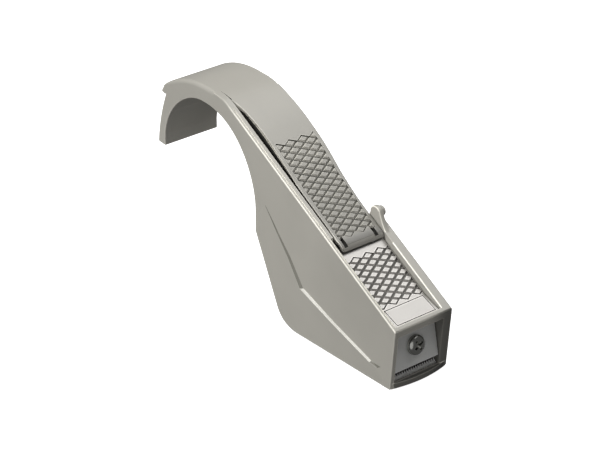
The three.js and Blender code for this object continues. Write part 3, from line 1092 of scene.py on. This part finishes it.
    def cheek(self) -> bpy.types.Object:
        """The faceted cheek on the side plate, proud along its V and flush at its rim.

        Returns:
            A thin closed solid that overlaps the plate.
        """
        d = self.datum
        ridge = [
            (-84.3, 55.7, 0.02), (-79.6, 50.3, 0.22), (-74.6, 44.2, 0.42), (-67.6, 36.2, 0.62),
            (-59.4, 24.6, 0.8), (-36.0, 16.3, 0.78), (-12.6, 8.6, 0.7), (-8.0, 7.6, 0.1),
        ]
        foot = [
            (-84.1, 55.9), (-79.2, 50.6), (-73.9, 44.7), (-66.6, 37.0),
            (-57.7, 25.1), (-35.8, 16.9), (-12.2, 9.3), (-5.6, 9.2),
        ]
        rim = [
            (-88.4, 50.0), (-90.3, 44.0), (-89.5, 38.5), (-82.8, 24.0),
            (-74.0, 4.8), (-61.0, 0.9), (-25.0, 0.9), (-4.5, 1.4),
        ]
        bite, skim = 0.6, 0.02
        bm = bmesh.new()
        crest = [bm.verts.new(d.place(x, d.left - proud, z)) for x, z, proud in ridge]
        flush, toe, rim_in, toe_in = (
            [bm.verts.new(d.place(x, d.left + depth, z)) for x, z in line]
            for line, depth in ((rim, -skim), (foot, skim), (rim, bite), (foot, bite))
        )
        rows = [toe_in, toe, crest, flush, rim_in]
        for row, after in zip(rows, rows[1:] + rows[:1]):
            for i in range(len(ridge) - 1):
                face = bm.faces.new((row[i], row[i + 1], after[i + 1], after[i]))
                # The risers are painted: shade on the upper steps and on the last one, highlight on the rest.
                if row is toe:
                    shaded = i < self.cheek_apex or i == len(ridge) - 2
                    face.material_index = 1 if shaded else 2
        for end in (0, -1):
            bm.faces.new([row[end] for row in rows])
        bmesh.ops.triangulate(bm, faces=bm.faces)
        piece = to_object("cheek", bm)
        return self.paints.coat(piece, MOULDING, CHEEK_STEP_SHADE, CHEEK_RIDGE_HIGHLIGHT)

    def _root_crease(self) -> bpy.types.Object:
        """The wedge that carries the strip's slit a little way up the hook, its cut faces painted deep shade.
        """
        d = self.datum
        y = d.channel_left + d.rim_wall + d.seam / 2
        tip, end = self.root_x - 9.0, self.root_x + 0.1
        corners = [d.place(tip, y, self.rise - drop) for drop in (0.1, 0.7)]
        corners += [d.place(end, y + side, d.deck(end) + up) for side in (-0.28, 0.28) for up in (0.8, -4.0)]
        return self.paints.coat(hull_of("root_crease", corners), DEEP_SHADE)

    def edge_lines(self, piece: bpy.types.Object) -> bpy.types.Object:
        """Cuts the fine line along the plate's top and eases the openings' edges."""
        d = self.datum
        lean = Vector((math.sin(math.radians(d.deck_angle)), 0, math.cos(math.radians(d.deck_angle))))

        def prism(x_from: float, y: float, shape: Sequence[Point]) -> bpy.types.Object:
            """A bar along the deck up to the nose, whose section is (across, up) from the deck at y."""
            corners = []
            for x in (x_from, d.bar_back):
                base = d.place(x, y, d.deck(x))
                corners += [base + (ACROSS * a + lean * u) * MM for a, u in shape]
            return hull_of("edge_line", corners)

        groove = [(-0.28, 0.2), (-0.28, 0.0), (-0.05, -0.55), (0.22, -0.1), (0.22, 0.2)]
        combine(piece, prism(self.root_x + 4, d.channel_left - 0.75, groove), Join.CUT)
        combine(piece, self._root_crease(), Join.CUT)
        ease = 0.35
        left = [(-ease, 0.0), (0.0, -ease), (0.3, -ease), (0.3, 0.3), (-ease, 0.3)]
        right = [(-a, u) for a, u in left]
        combine(piece, prism(self.rim_front + 0.1, d.channel_left, left), Join.CUT)
        return combine(piece, prism(self.ear_x + 12, d.channel_right, right), Join.CUT)

    def make(self) -> bpy.types.Object:
        """Builds the whole moulding.

        Returns:
            The finished piece.
        """
        d = self.datum
        piece = self.paints.coat(self.block(), MOULDING)
        self.carve(piece)
        x, z = self.lip_crease
        crease = turned(
            "crease", [(0, 0), (0, 0.7), (29.4, 0.7), (29.4, 0)], d.place(x, d.left + 0.8, z), ACROSS, 20
        )
        for part in (self.front_lip(), self.screw_block(), self.ear(), self.cheek(), crease):
            combine(piece, part, Join.ADD)
        self.edge_lines(piece)
        self._bores(piece)
        corner = [(-170, 81), (-157.7, 81), (-157.7, 92), (-170, 92)]
        combine(piece, side_slab(d, "lip_end", corner, d.left - 3, d.left + 1.6), Join.CUT)
        polish(piece)
        return self.paints.dress(piece, MOULDING, Body.FRAME, "frame")

    def _bores(self, piece: bpy.types.Object) -> None:
        """Bores the seats of the axle and of the insert, and cuts the blade's groove."""
        d = self.datum
        clearance, insert_seat, groove_height = 0.3, 3.4, 2.6
        low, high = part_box("roller_axle")
        centre = (low + high) / 2
        radius = (high.x - low.x) / 2 / MM + clearance
        span = (0, (high.y - low.y) / MM + 2 * d.seam)
        start = Vector((centre.x, low.y - d.seam * MM, centre.z))
        combine(piece, round_bar("axle_seat", radius, span, start, ACROSS), Join.CUT)
        low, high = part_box("screw_insert")
        seat = round_bar("insert_seat", insert_seat, (-9, 9), (low + high) / 2, ScrewSet.direction())
        combine(piece, seat, Join.CUT)
        low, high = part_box("cutter_blade")
        gap = d.seam * MM
        corners = [
            Vector((x, y, z))
            for x in (low.x - gap, high.x + gap)
            for y in (d.channel_left * MM, d.channel_right * MM)
            for z in (low.z - gap, low.z + groove_height * MM)
        ]
        combine(piece, hull_of("blade_groove", corners), Join.CUT)


# ---- the palm strip -----------------------------------------------------------------


@dataclass
class PalmStrip:
    """The springy strip under the palm, with its diamonds, slots and rolled lip."""

    datum: Datum
    paints: Paintbox
    root_x: float = -112.0
    thickness: float = 2.6
    bow_x: float = -92.0
    bow_rise: float = 2.6
    flat_x: float = -68.0
    end_x: float = -35.9
    lip: float = 2.2
    roll: float = 4.6
    wide_right: float = 14.1
    taper_from: float = -84.0
    taper_to: float = -50.0
    slot_width: float = 1.9
    slot_length: float = 5.8
    slot_inset: float = 1.8
    right_slot_inset: float = 3.0
    rib_span: Point = (-111.4, -37.5)
    rib_inset: float = 1.9
    rib_thickness: float = 1.0
    rib_drop: float = 6.0

    def stations(self) -> tuple[Outline, Outline]:
        """Top and underside of the strip, point for point, from its root to its lip."""
        d = self.datum
        under = self.thickness / math.cos(math.radians(d.deck_angle))
        root = (self.root_x, d.deck(self.root_x))
        bow = (self.bow_x, d.deck(self.bow_x) + self.bow_rise)
        flat = (self.flat_x, d.deck(self.flat_x) + 0.2)
        roll = (self.end_x - self.roll, d.deck(self.end_x - self.roll))
        end = (self.end_x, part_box("palm_strip")[0].z / MM)
        mid = ((bow[0] + flat[0]) / 2, (bow[1] + flat[1]) / 2 + 0.5)
        top = [root]
        top += curve(40, root, (root[0] + 6, root[1] - 1.75), (bow[0] - 6, bow[1] + 3.6), bow)
        top += curve(40, bow, mid, flat) + curve(30, flat, roll)
        top += curve(14, roll, (roll[0] + 2.2, d.deck(roll[0] + 2.2)), (end[0] - 0.8, end[1] + 2.9), end)

        def sunk(point: Point, depth: float = under) -> Point:
            """The point straight below, by a depth."""
            return (point[0], point[1] - depth)

        back = (end[0] - self.lip, end[1] + self.lip * d.slope)
        low_root = sunk(root, 3.0)
        low_roll = sunk((end[0] - 8, d.deck(end[0] - 8)))
        halfway = ((low_roll[0] + back[0]) / 2, (low_roll[1] + back[1]) / 2)
        pulls = (root[0] + 6, root[1] - 1.9 - under), (bow[0] - 6, bow[1] + 3.6 - under)
        low = [low_root, *curve(40, low_root, *pulls, sunk(bow))]
        low += curve(40, sunk(bow), sunk(mid), sunk(flat)) + curve(30, sunk(flat), low_roll) + curve(14, low_roll, halfway, back)
        return top, low

    def undercut(self, x: float) -> float:
        """How far the underside stands in from the strip's left edge."""
        return 1.6 * smooth_step(x, self.root_x, self.root_x + 7) * (1 - smooth_step(x, -50.0, -44.0))

    def left_side(self, x: float) -> float:
        """The strip's left edge, which closes on the rim at the root and bows in behind the pad."""
        rim = self.datum.channel_left + self.datum.rim_wall
        opened = smooth_step(x, self.root_x - 4, self.root_x + 8)
        belly = math.exp(-(((x + 89) / 16) ** 2))
        return rim + 0.04 + (0.7 + 0.9 * belly) * opened

    def right_side(self, x: float) -> float:
        """The strip's right edge, which narrows beside the ear."""
        narrow = self.datum.channel_right - self.datum.seam
        return self.wide_right + (narrow - self.wide_right) * smooth_step(x, self.taper_from, self.taper_to)

    def surface(self) -> Surface:
        """The strip's smooth upper face."""
        top, _ = self.stations()

        def height(x: float) -> float:
            """Height of the upper face at x."""
            for a, b in zip(top, top[1:]):
                if a[0] <= x <= b[0]:
                    return a[1] + (b[1] - a[1]) * (x - a[0]) / (b[0] - a[0])
            return self.datum.deck(x)

        return Surface(height)

    def field(self) -> DiamondField:
        """The pad's diamonds, between the hook and the slots."""
        return DiamondField(
            datum=self.datum, surface=self.surface(), name="palm_strip_diamonds", start=-84.0, rows=27,
            middle=5.12, drift=-0.066,
            left_of=lambda x: -9.6 - 1.2 * (x + 86) / 44, right_of=lambda x: 12.0 - 2.8 * (x + 86) / 44,
        )

    def body(self) -> bpy.types.Object:
        """The plain strip, rounded along its edges."""
        d = self.datum
        rings = [
            [
                d.place(tx, self.left_side(tx), tz), d.place(tx, self.right_side(tx), tz),
                d.place(lx, self.right_side(lx), lz), d.place(lx, self.left_side(lx) + self.undercut(lx), lz),
            ]
            for (tx, tz), (lx, lz) in zip(*self.stations())
        ]

        def radius(a: Vector, b: Vector) -> float:
            """Rounding of the long edges and of the lip's end."""
            x = d.x_of(a, b)
            if abs(a.y - b.y) > 5 * MM:
                return 0.5 if x > self.end_x - 3 and a.z / MM < 53 else 0.0
            across_end = abs(a.x - b.x) + abs(a.z - b.z) > 1.9 * MM
            if across_end and (x > self.end_x - 2.4 or x < self.root_x + 0.1):
                return 0.0
            return 0.15 + 0.5 * smooth_step(x, self.root_x + 0.5, self.root_x + 9)

        return weigh_edges(loft("palm_strip", rings), radius, 0.65, 3)

    def rib(self) -> bpy.types.Object:
        """A rib under the strip that closes the view down the slit, with painted deep shade on the side that
        shows in the slit.
        """
        _, low = self.stations()
        x_from, x_to = self.rib_span
        run = [p for p in low if x_from <= p[0] <= x_to]
        bite, ends = 0.6, 4.0
        upper = [(x, z + bite) for x, z in run]
        lower = [
            (x, z - self.rib_drop * min(1.0, 0.1 + (x - x_from) / ends, 0.1 + (x_to - x) / ends))
            for x, z in run
        ]
        y = self.datum.strip_left + self.rib_inset
        rib = side_slab(self.datum, "rib", upper + lower[::-1], y, y + self.rib_thickness)
        self.paints.coat(rib, DEEP_SHADE, MOULDING)
        for polygon in rib.data.polygons:
            polygon.material_index = 0 if polygon.normal.y < -0.5 else 1
        return rib

    def slot(self, y: float) -> bpy.types.Object:
        """A cutter for one of the two slots behind the lip, leaving a pocket whose walls and floor are
        painted deep shade.
        """
        d = self.datum
        mid = self.end_x - 3.6
        back, front = mid - self.slot_length / 2, mid + self.slot_length / 2
        points = [
            (back, d.deck(back) + 6), (back, d.deck(back) - 2.3), (front - 2.0, d.deck(front - 2.0) - 1.0),
            (front, d.deck(front) - 1.2), (front, d.deck(front) + 6),
        ]
        return self.paints.coat(side_slab(d, "slot", points, y, y + self.slot_width), DEEP_SHADE)

    def make(self) -> bpy.types.Object:
        """Builds the strip and its diamonds.

        Returns:
            The strip.
        """
        d = self.datum
        field = self.field()
        piece = self.paints.coat(self.body(), MOULDED_STRIP)
        combine(piece, self.rib(), Join.ADD)
        # The sunk field's floor and walls take the grooves' painted shade.
        combine(piece, self.paints.coat(field.sink(), GROOVE_SHADE), Join.CUT)
        right = d.channel_right - d.seam - self.right_slot_inset - self.slot_width
        for y in (d.strip_left + self.slot_inset, right):
            combine(piece, self.slot(y), Join.CUT)
        polish(piece)
        self.paints.fill_slots(piece, MOULDED_STRIP)
        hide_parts("palm_strip")
        start = d.place(self.root_x + 0.5, 0, 0)
        end = d.place(self.root_x + 9, 0, 0)
        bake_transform(piece)
        LOG.info("%s: %d faces", piece.name, len(piece.data.polygons))
        studs = field.studs(self.paints.material(MOULDED_STRIP))
        self.paints.dress(studs, MOULDED_STRIP, Body.STRIP)
        return piece


# ---- the thumb plate ----------------------------------------------------------------


@dataclass
class ThumbPlate:
    """The sprung metal plate under the thumb, with diamonds and a plain framed panel."""

    datum: Datum
    paints: Paintbox
    recess: float = 3.3
    thickness: float = 1.5
    back_x: float = -39.5
    bend_x: float = -9.5
    panel_back: float = -9.2
    panel_front: float = -0.4
    panel_side: float = 1.5

    @property
    def front(self) -> float:
        """The x of the plate's front edge."""
        return self.datum.bar_back - self.datum.seam

    def span(self, inset: float = 0.0) -> Point:
        """The plate's left and right y, less an inset."""
        d = self.datum
        return d.channel_left + d.seam + inset, d.channel_right - d.seam - inset

    def height(self, x: float) -> float:
        """Height of the plate's upper face at x."""
        d = self.datum
        front_z = d.deck(self.front) - d.seam - 1
        bend_z = d.deck(self.bend_x) - self.recess
        steep = d.deck(x) - self.recess
        gentle = bend_z + (front_z - bend_z) * (x - self.bend_x) / (self.front - self.bend_x)
        return steep + (gentle - steep) * smooth_step(x, self.bend_x - 1.5, self.bend_x + 1.5)

    def field(self) -> DiamondField:
        """The plate's diamonds, between its margin and the panel."""
        left, right = self.span(0.5)
        return DiamondField(
            datum=self.datum, surface=Surface(self.height), name="thumb_plate_diamonds", start=-32.6,
            rows=14, middle=-1.3, left_of=lambda x: left, right_of=lambda x: right, crown=0.6, foot=0.88,
            half_length=1.89, half_width=3.46,
        )

    def body(self) -> bpy.types.Object:
        """The plain plate with its turned-down rear edge."""
        steps = 40
        stations = [self.back_x + (self.front - self.back_x) * k / steps for k in range(steps + 1)]
        top = [(x, self.height(x)) for x in stations]
        low = [(x, z - self.thickness * 1.15) for x, z in reversed(top) if x > self.back_x + 1.6]
        hook_z = self.height(self.back_x) - 2.6
        low += [(self.back_x + 1.2, hook_z), (self.back_x - 1, hook_z)]
        return soften(side_slab(self.datum, "thumb_plate", top + low, *self.span()), 0.3, 3, 30)

    def panel(self) -> bpy.types.Object:
        """A cutter for the fine line that frames the plain panel."""
        depth, line = 0.4, 0.4

        def cover(inset: float, sink: float) -> bpy.types.Object:
            """A block over the panel, a little smaller all round."""
            back, front = self.panel_back + inset, self.panel_front - inset
            points = [
                (back, self.height(back) - sink), (front, self.height(front) - sink),
                (front, self.height(front) + 4), (back, self.height(back) + 4),
            ]
            block = side_slab(self.datum, "panel_line", points, *self.span(self.panel_side + inset))
            # The line's walls and floor take the grooves' painted shade.
            return self.paints.coat(block, NICKEL_GROOVE_SHADE)

        return combine(cover(0.0, depth), cover(line, depth + 1), Join.CUT)

    def make(self) -> bpy.types.Object:
        """Builds the plate and its diamonds.

        Returns:
            The plate.
        """
        field = self.field()
        piece = self.paints.coat(self.body(), SATIN_NICKEL)
        # The sunk field's floor and walls take the grooves' painted shade.
        combine(piece, self.paints.coat(field.sink(), NICKEL_GROOVE_SHADE), Join.CUT)
        combine(piece, self.panel(), Join.CUT)
        polish(piece)
        self.paints.dress(piece, SATIN_NICKEL, Body.THUMB, "thumb_plate")
        studs = field.studs(self.paints.material(SATIN_NICKEL))
        self.paints.dress(studs, SATIN_NICKEL, Body.THUMB)
        return piece


# ---- the nose's hardware ------------------------------------------------------------


@dataclass
class ScrewSet:
    """The front plate, its screw and the screw's insert."""

    datum: Datum
    paints: Paintbox
    head_radius: float = 4.6
    head_height: float = 2.8
    shank_radius: float = 2.1
    screw_z: float = 16.6
    screw_tip: float = -9.6
    thread_pitch: float = 0.8
    thread_turns: int = 7
    hole_radius: float = 2.5
    insert_radius: float = 3.1
    insert_length: float = 6.0
    plate_thickness: float = 1.2

    @classmethod
    def direction(cls) -> Vector:
        """The way out of the front plate, square to its face."""
        low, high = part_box("front_plate")
        lean = math.atan2(high.x - low.x - cls.plate_thickness * MM, high.z - low.z)
        return Vector((math.cos(lean), 0, math.sin(lean))).normalized()

    def seat(self) -> Vector:
        """The middle of the plate's face under the screw's head."""
        low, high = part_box("clamp_screw")
        face = self.datum.place(self.datum.plate_face(self.screw_z), 0, self.screw_z)
        return Vector((face.x, (low.y + high.y) / 2, face.z))

    def plate(self) -> bpy.types.Object:
        """The brushed plate."""
        d = self.datum
        low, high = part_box("front_plate")
        foot, top = low.z / MM, high.z / MM
        back = self.plate_thickness * 1.02
        points = [(d.plate_face(foot), foot), (d.plate_face(top), top)]
        points += [(x - back, z) for x, z in reversed(points)]
        piece = side_slab(d, "front_plate", points, d.channel_left + d.seam, d.channel_right - d.seam)
        hole = round_bar("hole", self.hole_radius, (-5, 5), self.seat(), self.direction())
        polish(soften(combine(piece, hole, Join.CUT), 0.18, 2))
        return self.paints.dress(piece, BRUSHED, Body.FRAME, "front_plate")

    def _screw_profile(self) -> Outline:
        """The screw's outline: pan head, and shank with its thread."""
        r, h, s, seat = self.head_radius, self.head_height, self.shank_radius, self.datum.seam
        rim, steps = 0.7, 9
        profile = [(seat, s), (seat, r * 0.97), (seat + 0.12, r)]
        for k in range(1, steps + 1):
            angle = math.pi / 2 * k / steps
            along = seat + rim + (h - rim) * math.sin(angle)
            profile.append((along, r * (0.28 + 0.72 * math.cos(angle))))
        tip = self.screw_tip
        profile += [(seat + h + 0.02, 0.0), (tip - 0.4, 0.0), (tip - 0.4, s - 0.9), (tip + 0.6, s)]
        for k in range(self.thread_turns):
            at = tip + 0.9 + self.thread_pitch * k
            profile += [(at, s), (at + 0.32, s - 0.35), (at + 0.42, s - 0.35), (at + 0.74, s)]
        return profile

    def screw(self) -> bpy.types.Object:
        """The pan-head screw with its cross recess.

        Returns:
            The screw.
        """
        out = self.direction()
        piece = turned("clamp_screw", self._screw_profile(), self.seat(), out, 64)
        top = self.seat() + out * (self.datum.seam + self.head_height) * MM
        spin = 0.5
        arm = ((0.3, 2.75, 0.62), (-1.0, 2.3, 0.52), (-1.9, 0.8, 0.4))
        for turn in (spin, spin + math.pi / 2):
            side = Matrix.Rotation(turn, 3, out) @ ACROSS
            width = out.cross(side)
            corners = [
                top + (out * depth + side * long * a + width * wide * b) * MM
                for depth, long, wide in arm for a in (-1, 1) for b in (-1, 1)
            ]
            combine(piece, hull_of("cross", corners), Join.CUT)
        polish(piece, 34)
        return self.paints.dress(piece, CHROME, Body.FRAME, "clamp_screw")

    def insert(self) -> bpy.types.Object:
        """The turned insert in the screw block."""
        low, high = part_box("screw_insert")
        outer, bore, half = self.insert_radius, self.hole_radius, self.insert_length / 2
        front = [(0.7, outer - 0.4), (0.9, outer), (half - 0.3, outer), (half, outer - 0.3), (half, bore)]
        profile = [(-along, radius) for along, radius in reversed(front)] + front
        piece = turned("screw_insert", profile, (low + high) / 2, self.direction(), 48)
        polish(piece)
        return self.paints.dress(piece, BRASS, Body.FRAME, "screw_insert")

    def make(self) -> None:
        """Builds the plate, the screw and the insert."""
        self.plate()
        self.screw()
        self.insert()


@dataclass
class Cutter:
    """The toothed blade behind the front lip."""

    paints: Paintbox
    pitch: float = 1.3
    tooth: float = 1.8
    grind: float = 0.6

    def make(self) -> bpy.types.Object:
        """Builds the blade, with each tooth ground from the front.

        Returns:
            The blade.
        """
        low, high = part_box("cutter_blade")
        left, right, tip = low.y / MM, high.y / MM, high.z / MM
        gum = tip - self.tooth
        count = int((right - left) / self.pitch)
        margin = (right - left - count * self.pitch) / 2
        crest = [(left, gum, 0.0)]
        for k in range(count):
            root = left + margin + k * self.pitch
            crest += [(root, gum, 0.0), (root + self.pitch / 2, tip, self.grind)]
        crest += [(right - margin, gum, 0.0), (right, gum, 0.0)]
        rings = []
        for y, z, ground in crest:
            front = high.x - (high.x - low.x) * ground
            corners = ((low.x, low.z), (low.x, z * MM), (front, z * MM), (high.x, low.z))
            rings.append([Vector((x, y * MM, height)) for x, height in corners])
        piece = loft("cutter_blade", rings)
        polish(piece)
        return self.paints.dress(piece, BLADE, Body.FRAME, "cutter_blade")


@dataclass
class GuideRoller:
    """The roller that the tape runs over, and its axle."""

    paints: Paintbox
    bore: float = 1.8
    grooves: int = 3

    def _turn(
        self, node: str, profile_of: Callable[[float, float], Outline], segments: int
    ) -> bpy.types.Object:
        """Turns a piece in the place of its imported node.

        Args:
            node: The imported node, whose name the piece takes.
            profile_of: Gives the outline from the node's radius and length in millimetres.
            segments: Number of facets round it.

        Returns:
            The piece.
        """
        low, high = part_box(node)
        start = Vector(((low.x + high.x) / 2, low.y, (low.z + high.z) / 2))
        profile = profile_of((high.x - low.x) / 2 / MM, (high.y - low.y) / MM)
        return polish(turned(node, profile, start, ACROSS, segments))

    def _roller_profile(self, radius: float, length: float) -> Outline:
        """Hollowed ends, three shallow grooves and an eased bore."""
        face = [(0.0, self.bore + 0.3), (0.0, 3.2), (0.5, 3.4), (0.5, 4.6), (0.0, 4.8), (0.0, radius - 0.4)]
        face += [(0.4, radius)]
        profile = list(face)
        for groove in range(1, self.grooves + 1):
            at = length * groove / (self.grooves + 1)
            profile += [(at - 0.7, radius), (at - 0.4, radius - 0.35)]
            profile += [(at + 0.4, radius - 0.35), (at + 0.7, radius)]
        profile += [(length - along, r) for along, r in reversed(face)]
        return profile + [(length - 0.3, self.bore), (0.3, self.bore)]

    @staticmethod
    def _axle_profile(radius: float, length: float) -> Outline:
        """A plain pin with eased ends."""
        ease = 0.3
        half = [(0, 0), (0, radius - ease), (ease, radius)]
        return half + [(length - along, r) for along, r in reversed(half)]

    def make(self) -> None:
        """Builds the grooved roller and the axle."""
        roller = self._turn("guide_roller", self._roller_profile, 72)
        self.paints.dress(roller, ACETAL, Body.ROLLER, "guide_roller")
        axle = self._turn("roller_axle", self._axle_profile, 48)
        self.paints.dress(axle, AXLE, Body.FRAME, "roller_axle")


# ---- the studio ---------------------------------------------------------------------


@dataclass(frozen=True)
class Studio:
    """A white floor, three soft suns over the deck and the side plate, and the camera."""

    azimuth: float = 50.36
    elevation: float = 27.83
    distance: float = 1.0587
    target: tuple[float, float, float] = (-0.04905, 0.0, 0.04208)
    lens: float = 142.16
    sensor: float = 36.0

    def hang(self, name: str, data: bpy.types.ID, away: Vector, distance: float) -> bpy.types.Object:
        """Places a camera or a lamp that looks at the target.

        Args:
            name: Name of the object.
            data: The camera or the lamp.
            away: Direction from the target.
            distance: Distance from the target, in metres.

        Returns:
            The new object.
        """
        item = bpy.data.objects.new(name, data)
        item.location = Vector(self.target) + away * distance
        item.rotation_euler = away.to_track_quat("Z", "Y").to_euler()
        bpy.context.scene.collection.objects.link(item)
        return item

    def camera(self) -> None:
        """Places the camera and makes it the scene's own."""
        turn, lift = math.radians(self.azimuth), math.radians(self.elevation)
        away = Vector((math.sin(turn) * math.cos(lift), -math.cos(turn) * math.cos(lift), math.sin(lift)))
        data = bpy.data.cameras.new("camera")
        data.lens = self.lens
        data.sensor_width = self.sensor
        data.clip_start = 0.01
        bpy.context.scene.camera = self.hang("camera", data, away, self.distance)

    def sun(self, name: str, direction: tuple[float, float, float], strength: float, spread: float) -> None:
        """Hangs one wide, soft sun, whose spread is in degrees."""
        data = bpy.data.lights.new(name, "SUN")
        data.energy = strength
        data.angle = math.radians(spread)
        self.hang(name, data, Vector(direction).normalized(), 1.0)

    def floor(self) -> None:
        """Lays the pale floor."""
        half, drop = 4.0, 0.0004
        bm = bmesh.new()
        for x, y in ((-half, -half), (half, -half), (half, half), (-half, half)):
            bm.verts.new((x, y, -drop))
        bm.verts.ensure_lookup_table()
        bm.faces.new(bm.verts[:])
        piece = to_object("floor", bm)
        material = bpy.data.materials.new("pale_floor")
        material.use_nodes = True
        shader = material.node_tree.nodes["Principled BSDF"]
        for name, value in (
            ("Base Color", (0.86, 0.86, 0.86, 1)), ("Roughness", 0.9), ("Specular IOR Level", 0.1),
            ("Emission Color", (1, 1, 1, 1)), ("Emission Strength", 0.9),
        ):
            shader.inputs[name].default_value = value
        piece.data.materials.append(material)
        piece.visible_diffuse = False
        piece.visible_glossy = False

    def make(self) -> None:
        """Sets up the camera, the suns, the air and the floor."""
        self.camera()
        self.sun("overhead", (0.04, 0.42, 0.9), 1.5, 50.0)
        self.sun("side", (-0.05, -0.8, 0.6), 2.15, 30.0)
        self.sun("front_fill", (0.75, -0.6, 0.15), 0.55, 60.0)
        world = bpy.data.worlds.new("air")
        world.use_nodes = True
        backdrop = world.node_tree.nodes["Background"]
        backdrop.inputs["Color"].default_value = (1.0, 1.0, 1.0, 1)
        backdrop.inputs["Strength"].default_value = 0.14
        bpy.context.scene.world = world
        bpy.context.scene.view_settings.view_transform = "Standard"
        self.floor()


# ---- assembly -----------------------------------------------------------------------


def main() -> None:
    """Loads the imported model, builds every piece around it and sets up the studio."""
    logging.basicConfig(level=logging.INFO, format="%(name)s %(message)s")
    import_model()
    datum = Datum.from_frame()
    paints = Paintbox()
    Studio().make()
    Moulding(datum, paints).make()
    PalmStrip(datum, paints).make()
    ThumbPlate(datum, paints).make()
    ScrewSet(datum, paints).make()
    Cutter(paints).make()
    GuideRoller(paints).make()


if __name__ == "__main__":
    main()
